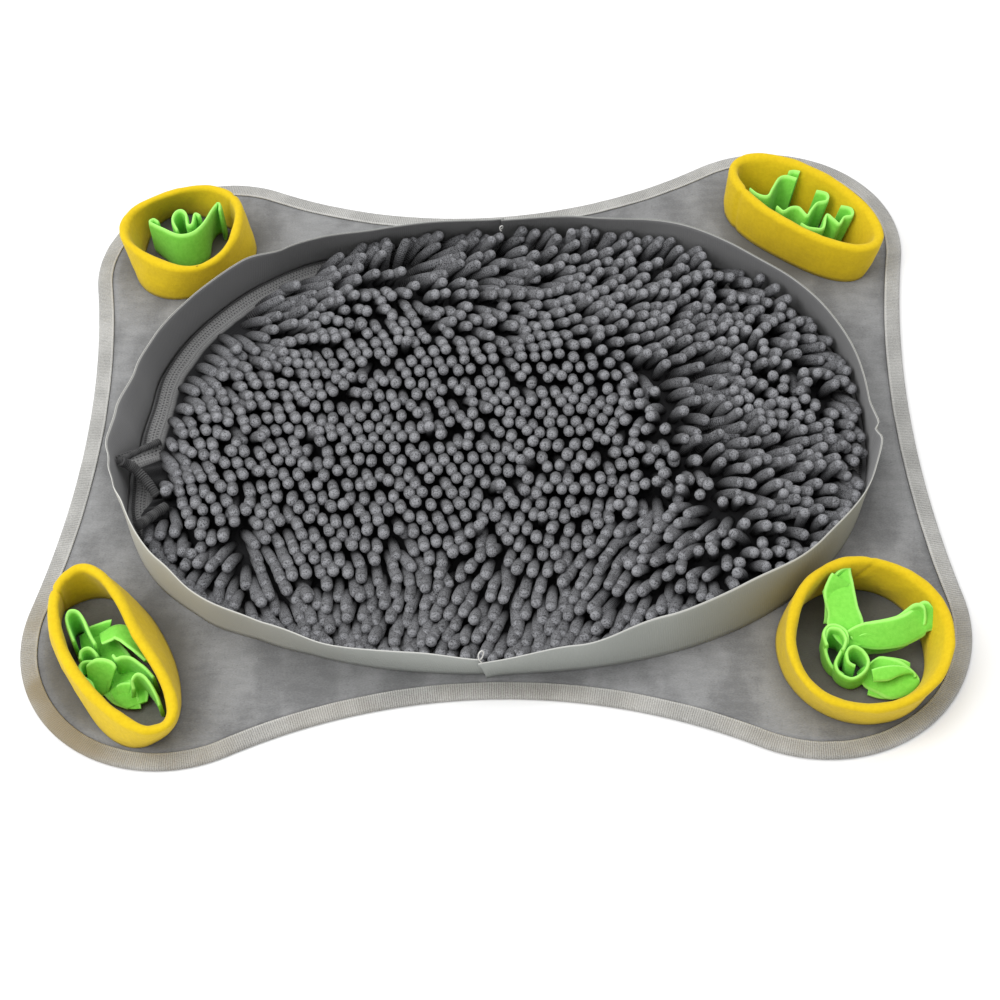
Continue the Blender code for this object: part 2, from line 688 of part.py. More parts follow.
def grow_locks(bm, side):
    """Pull four-sided locks out of the slab's side, each a little tapered."""
    centre = Vector((*WALL_CENTRE, 0.0))

    def turn(face):
        away = face.calc_center_median() - centre
        return math.atan2(away.y, away.x)

    chosen = sorted(side, key=turn)[::LOCK_EVERY]
    bmesh.ops.inset_individual(bm, faces=chosen, thickness=LOCK_MARGIN, depth=0.0,
                               use_even_offset=True)
    grown = bmesh.ops.extrude_discrete_faces(bm, faces=chosen)["faces"]
    for face in grown:
        middle = face.calc_center_median()
        outward = Vector((face.normal.x, face.normal.y, 0.0)).normalized()
        for vert in face.verts:
            vert.co = middle + (vert.co - middle) * LOCK_TAPER
            vert.co += outward * LOCK_REACH + Vector((0.0, 0.0, LOCK_RISE))


def make_pad(parts, guides):
    """Shaggy pad: lumpy slab with locks at its rim, on its ground cloth."""
    bm = pad_slab()
    grow_locks(bm, close_slab(bm))
    pad = add_mesh("chenille_pad", bm, parts, "chenille")

    ground_lines = []
    for height in (PAD_FOOT, PAD_FOOT + PAD_GROUND_THICKNESS):
        line = []
        for step in range(PAD_GROUND_STEPS):
            place, _ = wall_foot(math.tau * step / PAD_GROUND_STEPS, PAD_GROUND_INSET)
            line.append((*place, height))
        ground_lines.append(line)
    ground = as_guide(add_mesh("pad_ground", loft(ground_lines, closed=False), guides))
    ear = as_guide(make_sheet("pad_ear", ear_edges(), EAR_THICKNESS, guides, None))
    for filler in (ground, ear):
        union = pad.modifiers.new("with_" + filler.name, "BOOLEAN")
        union.operation = "UNION"
        union.object = filler
    return pad


def ring_point(oval, squareness, bearing):
    """Point of a ring's foot or rim line at a bearing of its own, radians."""
    turn = math.radians(oval.heading)
    spot = oval_point(bearing, oval.half_length, oval.half_width, squareness)
    spot += spot.normalized() * (
        oval.wave * math.sin(RING_BENDS * bearing + math.radians(oval.wave_turn)))
    return Vector((
        oval.x + spot.x * math.cos(turn) - spot.y * math.sin(turn),
        oval.y + spot.x * math.sin(turn) + spot.y * math.cos(turn),
    )) * MM


def ring_lines(ring, bearing):
    """Middle points of a ring's foot and rim at a bearing of its own, radians."""
    return (ring_point(ring.foot, ring.squareness, bearing),
            ring_point(ring.rim, ring.squareness, bearing))


def ring_section(ring, bearing):
    """Doubled band: outer layer up, soft fold over the top, inner layer down."""
    foot, rim = ring_lines(ring, bearing)
    run = (ring_lines(ring, bearing + RUN_NUDGE)[0]
           - ring_lines(ring, bearing - RUN_NUDGE)[0])
    outward = Vector((run.y, -run.x)).normalized()
    half = RING_THICKNESS / 2
    hollow = half - RING_LAYER
    height = RING_HEIGHT + RING_HEIGHT_WAVE * math.sin(
        RING_RISES * bearing + ring.foot.y)
    crest = half * RING_CREST_SHARE
    inside = hollow * RING_HOLLOW_SHARE
    outline = (
        (half, 0.0),
        (half + RING_BULGE, height / 2),
        (half, height - RING_SHOULDER),
        (crest, height - RING_CREST),
        (0.0, height),
        (-crest, height - RING_CREST),
        (-half, height - RING_SHOULDER),
        (-half - RING_BULGE, height / 2),
        (-half, 0.0),
        (-hollow, 0.0),
        (-hollow - RING_BULGE, height / 2),
        (-inside, height - RING_HOLLOW_TOP),
        (inside, height - RING_HOLLOW_TOP),
        (hollow + RING_BULGE, height / 2),
        (hollow, 0.0),
    )
    section = []
    for aside, up in outline:
        place = foot + (rim - foot) * (up / height) + outward * aside
        section.append((*place, RING_FOOT + up))
    return section


def make_ring(ring, parts):
    """One fleece ring, sewn to the base at its foot."""
    sections = [ring_section(ring, math.tau * step / RING_STEPS)
                for step in range(RING_STEPS)]
    return add_mesh(ring.name, loft(sections, closed=True), parts, "yellow_fleece")


def smooth_rows(rows, steps):
    """Catmull-Rom stations through the rows of a strip's table, metres."""
    padded = (rows[0],) + tuple(rows) + (rows[-1],)
    stations = []
    for i in range(len(rows) - 1):
        before, start, end, after = padded[i:i + 4]
        last = i == len(rows) - 2
        for step in range(steps + (1 if last else 0)):
            t = step / steps
            stations.append([
                0.5 * MM * (2 * b + (c - a) * t + (2 * a - 5 * b + 4 * c - d) * t ** 2
                            + (3 * b - a - 3 * c + d) * t ** 3)
                for a, b, c, d in zip(before, start, end, after)])
    return stations


def make_sheet(name, edges, thickness, collection, finish):
    """A cloth between two lines of points, thickened by Solidify."""
    bm = bmesh.new()
    pairs = [(bm.verts.new(low), bm.verts.new(high)) for low, high in edges]
    for here, there in zip(pairs, pairs[1:]):
        bm.faces.new((here[0], there[0], there[1], here[1]))
    sheet = add_mesh(name, bm, collection, finish)
    solidify = sheet.modifiers.new("thickness", "SOLIDIFY")
    solidify.thickness = thickness
    solidify.offset = 0.0
    return sheet


def under_rim(ring, spot):
    """The place in a ring's foot that answers to a place in its rim, metres."""
    rim, foot = ring.rim, ring.foot
    from_middle = spot - Vector((rim.x, rim.y)) * MM
    from_middle.rotate(Matrix.Rotation(-math.radians(rim.heading), 2))
    from_middle.x *= foot.half_length / rim.half_length
    from_middle.y *= foot.half_width / rim.half_width
    from_middle.rotate(Matrix.Rotation(math.radians(foot.heading), 2))
    return from_middle + Vector((foot.x, foot.y)) * MM


def make_strip(name, rows, parts):
    """A fleece strip that stands on its edge in a ring."""
    stations = smooth_rows(rows, FLEECE_STEPS)
    edges = []
    for i, (x, y, lean, low, high) in enumerate(stations):
        ahead = stations[min(i + 1, len(stations) - 1)]
        behind = stations[max(i - 1, 0)]
        run = Vector((ahead[0] - behind[0], ahead[1] - behind[1])).normalized()
        aside = Vector((-run.y, run.x)) * lean / 2
        below = Vector((x, y)) - aside
        if name.startswith(LEANING_STRIPS):
            below = under_rim(LEANING_RING, below)
        edges.append(((*below, low), (x + aside.x, y + aside.y, high)))
    return make_sheet(name, edges, FLEECE_THICKNESS, parts, "green_fleece")


def ear_edges():
    """Both edges of the turned up ground cloth, metres."""
    return [(Vector((row.x, row.y, row.z)) * MM,
             Vector((row.wall_x, row.wall_y, row.wall_z)) * MM) for row in EAR_ROWS]


def build():
    """Model every piece of the mat."""
    clear_scene()
    parts = new_collection("snuffle_mat")
    guides = new_collection("guides")
    make_base(parts)
    make_edge_tape(parts, guides)
    gap = WALL_JOIN_GAP / 2
    make_wall("wall_band_right", WALL_FRONT_JOIN + gap, WALL_BACK_JOIN - gap,
              WALL_JOIN_SLANT, 0.0, parts)
    make_wall("wall_band_left", WALL_BACK_JOIN + gap, WALL_FRONT_JOIN + 360.0 - gap,
              0.0, WALL_JOIN_SLANT, parts)
    make_pad(parts, guides)
    for ring in RINGS:
        make_ring(ring, parts)
    for name, rows in STRIPS.items():
        make_strip(name, rows, parts)


build()
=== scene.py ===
"""Dress a packed snuffle mat: felt base, bound edge, chenille pile, webbing and fleece.

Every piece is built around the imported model, in metres, in the model's own frame:
+X to the right along the long side, +Y to the back, +Z up from the floor.
"""

import logging
from collections.abc import Mapping, Sequence
from dataclasses import KW_ONLY, dataclass
from enum import Enum
from math import atan2, copysign, cos, degrees, exp, hypot, pi, radians, sin, sqrt, tau
from typing import NamedTuple, Union

import bpy
import numpy as np
from mathutils import Matrix, Vector, noise


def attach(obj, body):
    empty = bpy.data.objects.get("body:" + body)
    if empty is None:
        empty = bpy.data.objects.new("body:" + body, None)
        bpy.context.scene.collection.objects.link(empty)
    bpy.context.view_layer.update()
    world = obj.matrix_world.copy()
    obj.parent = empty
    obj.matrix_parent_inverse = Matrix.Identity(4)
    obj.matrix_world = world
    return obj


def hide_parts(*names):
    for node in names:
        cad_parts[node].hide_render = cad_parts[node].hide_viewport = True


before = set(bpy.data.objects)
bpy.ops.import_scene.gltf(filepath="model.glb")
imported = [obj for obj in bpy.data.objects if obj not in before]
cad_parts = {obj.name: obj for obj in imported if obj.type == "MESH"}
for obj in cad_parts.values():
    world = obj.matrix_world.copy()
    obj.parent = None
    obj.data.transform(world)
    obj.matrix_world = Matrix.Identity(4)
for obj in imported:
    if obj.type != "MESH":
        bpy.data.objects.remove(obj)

MM = 0.001
BODY = "root"
LOG = logging.getLogger("snuffle_mat")

WALL_HEIGHT = 40 * MM
SEAM_HEIGHT = 3.3 * MM  # where what is sewn to the base stands
BASE_PIECE = "felt_base_cloth"

Colour = Place = tuple[float, float, float]
Pair = tuple[float, float]
Rows = list[tuple[float, ...]]
Array = np.ndarray
Material = bpy.types.Material
Number = Union["Value", float]


# ---- shader maths ----
MIX_FIRST, MIX_SECOND, MIX_RESULT = 6, 7, 2  # a Mix node's colour sockets
GRAIN_ROUGHNESS = 0.55
FIBRE_GLOSS = 0.2
SHEEN_ROUGHNESS = 0.5
BAND_CORE = 0.4  # share of a soft stripe at full strength


class Value:
    """A number that varies over a surface, used in Python expressions."""

    def __init__(self, web: "Web", socket: bpy.types.NodeSocket) -> None:
        """Wrap one output socket of a material's node tree."""
        self.web = web
        self.socket = socket

    def _maths(self, operation: str, first: Number, second: Number = 0.0) -> "Value":
        """Add one Math node.

        Args:
            operation: The Math node's operation.
            first: Its first input.
            second: Its second input.

        Returns:
            The node's result.
        """
        made = self.web.node("ShaderNodeMath", {"operation": operation},
                             {0: first, 1: second})
        return Value(self.web, made.outputs[0])

    def __add__(self, other: Number) -> "Value":
        """Return self + other."""
        return self._maths("ADD", self, other)

    def __radd__(self, other: Number) -> "Value":
        """Return other + self."""
        return self._maths("ADD", other, self)

    def __sub__(self, other: Number) -> "Value":
        """Return self - other."""
        return self._maths("SUBTRACT", self, other)

    def __rsub__(self, other: Number) -> "Value":
        """Return other - self."""
        return self._maths("SUBTRACT", other, self)

    def __mul__(self, other: Number) -> "Value":
        """Return self * other."""
        return self._maths("MULTIPLY", self, other)

    def __rmul__(self, other: Number) -> "Value":
        """Return other * self."""
        return self._maths("MULTIPLY", other, self)

    def size(self) -> "Value":
        """Return the value without its sign."""
        return self._maths("ABSOLUTE", self)

    def sine(self) -> "Value":
        """Return the sine of the value, read as radians."""
        return self._maths("SINE", self)

    def waves(self, pitch: float) -> "Value":
        """Return a wave from 0 to 1 at a pitch."""
        return (self * (tau / pitch)).sine() * 0.5 + 0.5

    def rise(self, low: float, high: float) -> "Value":
        """Return a smooth step.

        Args:
            low: Where the step is still 0.
            high: Where it reaches 1, which may lie below low.

        Returns:
            A value from 0 to 1.
        """
        if high < low:
            return 1.0 - self.rise(high, low)
        made = self.web.node("ShaderNodeMapRange", {"interpolation_type": "SMOOTHSTEP"},
                             {"Value": self, "From Min": low, "From Max": high})
        return Value(self.web, made.outputs["Result"])

    def band(self, middle: float, half: float) -> "Value":
        """Return a soft stripe: 1 on its middle, 0 beyond half its width."""
        return (self - middle).size().rise(half, half * BAND_CORE)


@dataclass(frozen=True)
class Ramp:
    """A smooth step, falling where high lies below low."""

    low: float
    high: float
    weight: float = 1.0

    def on(self, value: Value) -> Value:
        """Return the step at a value, from 0 to the weight."""
        return value.rise(self.low, self.high) * self.weight

    def moved(self, by: float) -> "Ramp":
        """Return the same step further on."""
        return Ramp(by + self.low, by + self.high, self.weight)


@dataclass(frozen=True)
class Grain:
    """Soft noise on a cloth."""

    size: float  # of one grain, metres
    detail: float = 2.0  # number of finer layers on it
    stretch: Place = (1.0, 1.0, 1.0)  # below 1: longer grains


class Web:
    """The node tree of one material."""

    def __init__(self, name: str, roughness: float, sheen: float = 0.0) -> None:
        """Start a material.

        Args:
            name: The material's name.
            roughness: Roughness of the shader, from 0 to 1.
            sheen: Weight of the fibres' sheen.
        """
        self.material = bpy.data.materials.new(name)
        self.material.use_nodes = True
        self.tree = self.material.node_tree
        self.shader = self.tree.nodes["Principled BSDF"]
        for socket, number in (("Roughness", roughness), ("Sheen Weight", sheen),
                               ("Specular IOR Level", FIBRE_GLOSS),
                               ("Sheen Roughness", SHEEN_ROUGHNESS)):
            self.shader.inputs[socket].default_value = number

    def node(self, kind: str, settings: Mapping[str, object],
             inputs: Mapping[int | str, object]) -> bpy.types.Node:
        """Add a node.

        Args:
            kind: The node's type.
            settings: Its properties, set first.
            inputs: Values or links of its input sockets, by name or place.

        Returns:
            The new node.
        """
        made = self.tree.nodes.new(kind)
        for key, setting in settings.items():
            setattr(made, key, setting)
        for key, given in inputs.items():
            if isinstance(given, Value):
                given = given.socket
            if isinstance(given, bpy.types.NodeSocket):
                self.tree.links.new(given, made.inputs[key])
            else:
                made.inputs[key].default_value = given
        return made

    def place(self) -> bpy.types.NodeSocket:
        """Return the point of the surface, in metres."""
        return self.node("ShaderNodeTexCoord", {}, {}).outputs["Object"]

    def sewn(self) -> tuple[Value, Value]:
        """Read the piece's own cloth map.

        Returns:
            Where a point lies along and across the cloth.
        """
        source = self.node("ShaderNodeTexCoord", {}, {}).outputs["UV"]
        split = self.node("ShaderNodeSeparateXYZ", {}, {0: source})
        return Value(self, split.outputs[0]), Value(self, split.outputs[1])

    def axis(self, index: int) -> Value:
        """Return one coordinate of the surface's point, in metres."""
        split = self.node("ShaderNodeSeparateXYZ", {}, {0: self.place()})
        return Value(self, split.outputs[index])

    def away(self, x: float, y: float) -> Value:
        """Return the distance of the surface's point from a place on the floor."""
        return Value(self, self.node("ShaderNodeVectorMath", {"operation": "DISTANCE"}, {
            0: self.place(), 1: (x, y, 0.0)}).outputs["Value"])

    def grain(self, grain: Grain) -> Value:
        """Lay noise over the surface.

        Args:
            grain: The noise's size and kind.

        Returns:
            Noise about 0.5.
        """
        moved = self.node("ShaderNodeMapping", {},
                          {"Vector": self.place(), "Scale": grain.stretch})
        made = self.node("ShaderNodeTexNoise", {},
                         {"Vector": moved.outputs[0], "Scale": 1.0 / grain.size,
                          "Detail": grain.detail, "Roughness": GRAIN_ROUGHNESS})
        return Value(self, made.outputs[0])

    def blend(self, share: Number, low: object, high: object) -> bpy.types.NodeSocket:
        """Mix two colours.

        Args:
            share: 0 for the first colour, 1 for the second.
            low: The first colour, or a link to one.
            high: The second colour, or a link to one.

        Returns:
            The mixed colour's socket.
        """
        first, second = ((*item, 1.0) if isinstance(item, tuple) else item
                         for item in (low, high))
        made = self.node("ShaderNodeMix", {"data_type": "RGBA", "clamp_factor": True},
                         {0: share, MIX_FIRST: first, MIX_SECOND: second})
        return made.outputs[MIX_RESULT]

    def relief(self, height: Value, depth: float, strength: float) -> None:
        """Raise the surface's normal by a height.

        Args:
            height: The height as a share of the depth.
            depth: What a height of 1 stands for, in metres.
            strength: Strength of the relief.
        """
        made = self.node("ShaderNodeBump", {},
                         {"Height": height, "Distance": depth, "Strength": strength})
        self.tree.links.new(made.outputs[0], self.shader.inputs["Normal"])

    def paint(self, colour: bpy.types.NodeSocket) -> None:
        """Give the shader its base colour."""
        self.tree.links.new(colour, self.shader.inputs["Base Color"])


# ---- finishes ----
class Pocket(NamedTuple):
    """A round place inside a ring where painted shade darkens the base, in metres."""

    x: float
    y: float
    reach: float


@dataclass(frozen=True)
class FeltFinish:
    """Brushed grey base cloth, mottled by its nap, with painted shade inside the rings.
    """

    light: Colour = (0.272, 0.274, 0.276)
    dark: Colour = (0.150, 0.151, 0.153)
    # painted shade: the dark warm grey that the base turns inside the rings
    ring_shade: Colour = (0.085, 0.080, 0.068)
    smudges: Grain = Grain(32 * MM, 4.0, (1.0, 0.55, 1.0))
    smudge_tone: Ramp = Ramp(0.36, 0.62, 0.6)
    nap: Grain = Grain(5 * MM, 3.0, (0.35, 1.0, 1.0))
    nap_tone: Ramp = Ramp(0.3, 0.7, 0.25)
    fibres: Grain = Grain(0.7 * MM, 3.0, (0.5, 1.0, 1.0))
    specks: Grain = Grain(1.6 * MM)
    speck_tone: Ramp = Ramp(0.36, 0.28, 0.4)
    pockets: tuple[Pocket, ...] = (
        Pocket(-0.240, -0.190, 0.046), Pocket(0.224, -0.193, 0.052),
        Pocket(-0.228, 0.172, 0.044), Pocket(0.224, 0.174, 0.046),
    )
    pocket_edge: Ramp = Ramp(14 * MM, -12 * MM, 0.72)  # from a pocket's reach, where the painted shade fades out
    depth: float = 0.4 * MM

    def make(self) -> Material:
        """Build the finish.

        Returns:
            The material.
        """
        web = Web("felt_base", roughness=0.95, sheen=0.1)
        nap, fibres = web.grain(self.nap), web.grain(self.fibres)
        shade = (self.smudge_tone.on(web.grain(self.smudges)) + self.nap_tone.on(nap)
                 + (fibres - 0.5) * 1.1 - self.speck_tone.on(web.grain(self.specks)))
        cloth = web.blend(shade, self.dark, self.light)
        for pocket in self.pockets:
            edge = self.pocket_edge.moved(pocket.reach)
            # painted shade: the base darkens towards each ring's middle
            cloth = web.blend(edge.on(web.away(pocket.x, pocket.y)), cloth, self.ring_shade)
        web.paint(cloth)
        web.relief(fibres * 0.6 + nap * 0.4, self.depth, strength=0.9)
        return web.material


@dataclass(frozen=True)
class TapeFinish:
    """Ribbed polyester tape, paler at its inner edge and soiled at one corner."""

    light: Colour = (0.530, 0.526, 0.508)
    dark: Colour = (0.195, 0.193, 0.184)
    soil: Colour = (0.235, 0.190, 0.115)
    rib: float = 1.4 * MM
    rib_sway: float = 0.5 * MM
    sway: Grain = Grain(9 * MM)
    fibres: Grain = Grain(0.8 * MM)
    wear: Grain = Grain(26 * MM, 3.0)
    wear_tone: Ramp = Ramp(0.35, 0.7, 0.25)
    edge: float = 10.4 * MM
    edge_half: float = 1.2 * MM
    grime: Grain = Grain(50 * MM)
    grime_tone: Ramp = Ramp(0.35, 0.6, 0.6)
    soiled_front: Ramp = Ramp(-110 * MM, -190 * MM)
    soiled_left: Ramp = Ramp(-150 * MM, -250 * MM, 0.75)
    depth: float = 0.5 * MM

    def make(self) -> Material:
        """Build the finish.

        Returns:
            The material.
        """
        web = Web("ribbed_tape", roughness=0.85, sheen=0.05)
        along, across = web.sewn()
        ribs = (along + web.grain(self.sway) * self.rib_sway).waves(self.rib)
        fibres = web.grain(self.fibres)
        shade = (ribs * 0.42 + (fibres - 0.5) * 1.3
                 + self.wear_tone.on(web.grain(self.wear))
                 + across.band(self.edge, self.edge_half) * 0.35 + 0.22)
        cloth = web.blend(shade, self.dark, self.light)
        grubby = ((self.grime_tone.on(web.grain(self.grime)) + 0.3)
                  * self.soiled_front.on(web.axis(1))
                  * (self.soiled_left.on(web.axis(0)) + 0.2))
        web.paint(web.blend(grubby, cloth, self.soil))
        web.relief(ribs * 0.7 + fibres * 0.3, self.depth, strength=0.9)
        return web.material


@dataclass(frozen=True)
class WebbingFinish:
    """Closely woven webbing with a paler selvedge; its inside and its right are painted
    in shade, its left in light.
    """

    outside: Colour = (0.365, 0.383, 0.360)
    # painted shade: the inside face is darker than the outside
    inside: Colour = (0.190, 0.190, 0.192)
    inside_light: Colour = (0.228, 0.228, 0.2304)
    selvedge: Colour = (0.600, 0.600, 0.570)
    # painted light on the outside's left, with a beige tone, and painted shade on its
    # right, with an olive tone
    lit_beige: Colour = (0.445, 0.435, 0.382)
    shaded_olive: Colour = (0.255, 0.250, 0.195)
    # painted shade in the hollows between the weave's ribs
    weave_shade: Colour = (0.09, 0.09, 0.09)
    rib: float = 1.5 * MM
    rib_sway: float = 0.4 * MM
    sway: Grain = Grain(14 * MM, 1.0)
    pick: float = 0.9 * MM
    fibres: Grain = Grain(0.6 * MM)
    clouds: Grain = Grain(70 * MM)
    lit_left: Ramp = Ramp(-60 * MM, -190 * MM, 0.8)
    shaded_right: Ramp = Ramp(60 * MM, 200 * MM, 0.8)
    faces: Ramp = Ramp(-0.1 * MM, 0.1 * MM)  # outside below 0, inside above
    selvedge_edge: Ramp = Ramp(WALL_HEIGHT - 1.6 * MM, WALL_HEIGHT - 0.6 * MM, 0.8)
    depth: float = 0.22 * MM

    def make(self) -> Material:
        """Build the finish.

        Returns:
            The material.
        """
        web = Web("wall_webbing", roughness=0.7, sheen=0.1)
        along, up = web.sewn()
        ribs = (along + web.grain(self.sway) * self.rib_sway).waves(self.rib)
        weave = (ribs * 0.55 + up.waves(self.pick) * 0.15
                 + web.grain(self.fibres) * 0.3)
        # painted light towards the left and painted shade towards the right of the
        # outside
        outer = web.blend(self.lit_left.on(web.axis(0)), self.outside, self.lit_beige)
        outer = web.blend(self.shaded_right.on(web.axis(0)), outer, self.shaded_olive)
        # the inside face, darker as painted shade, mottled by clouds
        inner = web.blend(web.grain(self.clouds), self.inside, self.inside_light)
        plain = web.blend(self.faces.on(up), outer, inner)
        # painted shade: the weave's hollows darken towards this colour
        shaded = web.blend((weave - 0.5).size() * 0.6, plain, self.weave_shade)
        web.paint(web.blend(self.selvedge_edge.on(up.size()), shaded, self.selvedge))
        web.relief(weave, self.depth, strength=0.7)
        return web.material


@dataclass(frozen=True)
class KnitFinish:
    """Grey knit with three rows of needle holes inside its rolled hem, painted near black
    as shade under the pile.
    """

    light: Colour = (0.330, 0.330, 0.328)
    # painted shade: near black under the pile, also used for the rolled hem's dark
    dark: Colour = (0.012, 0.012, 0.013)
    hole: Colour = (0.040, 0.040, 0.043)
    stitch: float = 1.6 * MM
    fuzz: Grain = Grain(0.9 * MM, 3.0)
    hole_rows: tuple[float, ...] = (3.4 * MM, 5.9 * MM, 8.3 * MM)
    hole_pitch: float = 2.5 * MM
    hole_width: Ramp = Ramp(0.62, 0.86)
    hole_half: float = 0.8 * MM
    strip: Ramp = Ramp(14 * MM, 12 * MM)  # where the painted shade under the pile begins
    hem: Ramp = Ramp(2.8 * MM, 1.8 * MM)
    depth: float = 0.5 * MM

    def make(self) -> Material:
        """Build the finish.

        Returns:
            The material.
        """
        web = Web("knit_ground", roughness=0.95, sheen=0.1)
        along, inset = web.sewn()
        stitches = along.waves(self.stitch)
        loops = stitches * 0.5 + inset.waves(self.stitch) * 0.5
        fuzz = web.grain(self.fuzz)
        # painted shade: beyond the bare strip the ground is painted near black, under the
        # pile
        shade = self.strip.on(inset) * (loops * 0.35 + fuzz * 0.6 + 0.15)
        holes: Number = 0.0
        for number, row in enumerate(self.hole_rows):
            offset = 0.5 * self.hole_pitch * (number % 2)
            pricks = self.hole_width.on((along + offset).waves(self.hole_pitch))
            holes = pricks * inset.band(row, self.hole_half) + holes
        cloth = web.blend(shade, self.dark, self.light)
        cloth = web.blend(self.hem.on(inset) * (0.55 + stitches * 0.4), cloth, self.dark)
        web.paint(web.blend(holes * 0.85, cloth, self.hole))
        web.relief(loops * 0.3 + fuzz * 0.5 - holes, self.depth, strength=0.9)
        return web.material


@dataclass(frozen=True)
class ChenilleFinish:
    """Fluffy chenille: ribbed short fibres, with painted shade dark down towards the
    roots where the rows are sewn, and painted light towards the tips.
    """

    light: Colour = (0.318, 0.322, 0.340)
    # painted shade: near black, down between the fingers
    dark: Colour = (0.020, 0.020, 0.022)
    fluff: Grain = Grain(1.3 * MM)
    fluff_tone: Ramp = Ramp(0.3, 0.7, 0.3)
    fibres: Grain = Grain(0.6 * MM)
    fibre_tone: Ramp = Ramp(0.25, 0.75, 0.4)
    specks: Grain = Grain(0.9 * MM, 1.0)
    speck_tone: Ramp = Ramp(0.48, 0.36, 0.55)
    rib: float = 0.029  # pitch of the cross ribs, as a share of a finger
    body: Ramp = Ramp(0.62, 0.48)  # the part of a finger that has ribs
    # painted shade and light along a finger: dark at the root, lit at the tip
    lower_light: Ramp = Ramp(0.08, 0.46, 0.74)
    upper_light: Ramp = Ramp(0.5, 0.85, 0.26)
    depth: float = 1.5 * MM

    def make(self) -> Material:
        """Build the finish.

        Returns:
            The material.
        """
        web = Web("chenille", roughness=1.0, sheen=0.1)
        tone, length = web.sewn()
        fluff, fibres = web.grain(self.fluff), web.grain(self.fibres)
        ribs = length.waves(self.rib) * self.body.on(length)
        # painted shade at the roots and painted light towards the tips
        lit = self.lower_light.on(length) + self.upper_light.on(length)
        pile = (tone * 0.2 + self.fluff_tone.on(fluff) + self.fibre_tone.on(fibres) + 0.4
                - self.speck_tone.on(web.grain(self.specks)) - ribs * 0.22)
        web.paint(web.blend(lit * pile, self.dark, self.light))
        web.relief(fluff * 0.5 + fibres * 0.35 - ribs * 0.5, self.depth, strength=1.0)
        return web.material


@dataclass(frozen=True)
class FleeceFinish:
    """Brushed fleece: a soft pilled nap, with cut edges paler than the face."""

    name: str
    light: Colour
    dark: Colour
    edge: Colour
    edge_tone: float
    nap: Grain = Grain(2.6 * MM, 3.0)
    nap_tone: Ramp = Ramp(0.25, 0.75, 0.35)
    fibres: Grain = Grain(0.6 * MM)
    clouds: Grain = Grain(24 * MM)
    rim: Ramp = Ramp(0.40, 0.485)  # from the middle, as a share of the width
    depth: float = 0.55 * MM

    def make(self) -> Material:
        """Build the finish.

        Returns:
            The material.
        """
        web = Web(self.name, roughness=1.0, sheen=0.08)
        across = web.sewn()[1]
        nap, fibres = web.grain(self.nap), web.grain(self.fibres)
        shade = self.nap_tone.on(nap) + fibres * 0.3 + web.grain(self.clouds) * 0.35
        cloth = web.blend(shade, self.dark, self.light)
        rim = self.rim.on((across - 0.5).size())
        web.paint(web.blend(rim * self.edge_tone, cloth, self.edge))
        web.relief(nap * 0.55 + fibres * 0.45, self.depth, strength=0.7)
        return web.material


@dataclass(frozen=True)
class ThreadFinish:
    """Spun polyester thread with its twist."""

    light: Colour = (0.80, 0.79, 0.76)
    dark: Colour = (0.42, 0.42, 0.40)
    twist: float = 0.8 * MM
    depth: float = 0.1 * MM

    def make(self) -> Material:
        """Build the finish.

        Returns:
            The material.
        """
        web = Web("sewing_thread", roughness=0.6)
        along, around = web.sewn()
        twist = (along + around * self.twist).waves(self.twist)
        web.paint(web.blend(twist, self.dark, self.light))
        web.relief(twist, self.depth, strength=1.0)
        return web.material


@dataclass(frozen=True)
class FloorFinish:
    """Plain pale floor."""

    colour: Colour = (0.86, 0.86, 0.86)

    def make(self) -> Material:
        """Build the finish.

        Returns:
            The material.
        """
        web = Web("plain_floor", roughness=0.9)
        web.shader.inputs["Base Color"].default_value = (*self.colour, 1.0)
        return web.material


YELLOW_FLEECE = FleeceFinish("yellow_fleece", light=(0.73, 0.525, 0.012),
                             dark=(0.56, 0.385, 0.006), edge=(0.76, 0.56, 0.03),
                             edge_tone=0.2)
GREEN_FLEECE = FleeceFinish("green_fleece", light=(0.26, 0.72, 0.095),
                            dark=(0.14, 0.53, 0.045), edge=(0.42, 0.90, 0.20),
                            edge_tone=0.75)


# ---- soft geometry ----
class Hold(Enum):
    """How a cut sheet is kept in its shape."""

    LAID = "laid"
    FOLDED = "folded"
    STRETCHED = "stretched"


def ripple(place: Sequence[float], size: float, seed: float) -> float:
    """Return smooth noise from about -1 to 1, its swells of a size in metres."""
    return noise.noise(Vector(place) / size + Vector((seed, 1.7 * seed, -seed)))


def running_lengths(points: Array, closed: bool) -> Array:
    """Measure along a line.

    Args:
        points: The line's points, one a row.
        closed: Whether the last point joins the first.

    Returns:
        The length up to each point, with the full length last if closed.
    """
    line = np.vstack([points, points[:1]]) if closed else points
    steps = np.linalg.norm(np.diff(line, axis=0), axis=1)
    return np.concatenate([[0.0], np.cumsum(steps)])


def cut_size(line: Array) -> tuple[Pair, float]:
    """Measure a cloth cut to a closed line.

    Args:
        line: The line's points on the floor, two columns.

    Returns:
        The cloth's width and length, and its area.
    """
    x, y = line[:, 0], line[:, 1]
    area = abs(float(np.dot(x, np.roll(y, -1)) - np.dot(y, np.roll(x, -1)))) / 2
    return (float(np.ptp(x)), float(np.ptp(y))), area


def level(line: Array, height: float | Array) -> Array:
    """Return a flat line's points in space, at one height or one for each."""
    return np.column_stack([line, np.broadcast_to(height, len(line))])


def run_at(points: Sequence[Vector] | Array, index: int) -> Vector:
    """Return the run of an open line at one of its points."""
    return Vector(points[min(index + 1, len(points) - 1)] - points[max(index - 1, 0)])


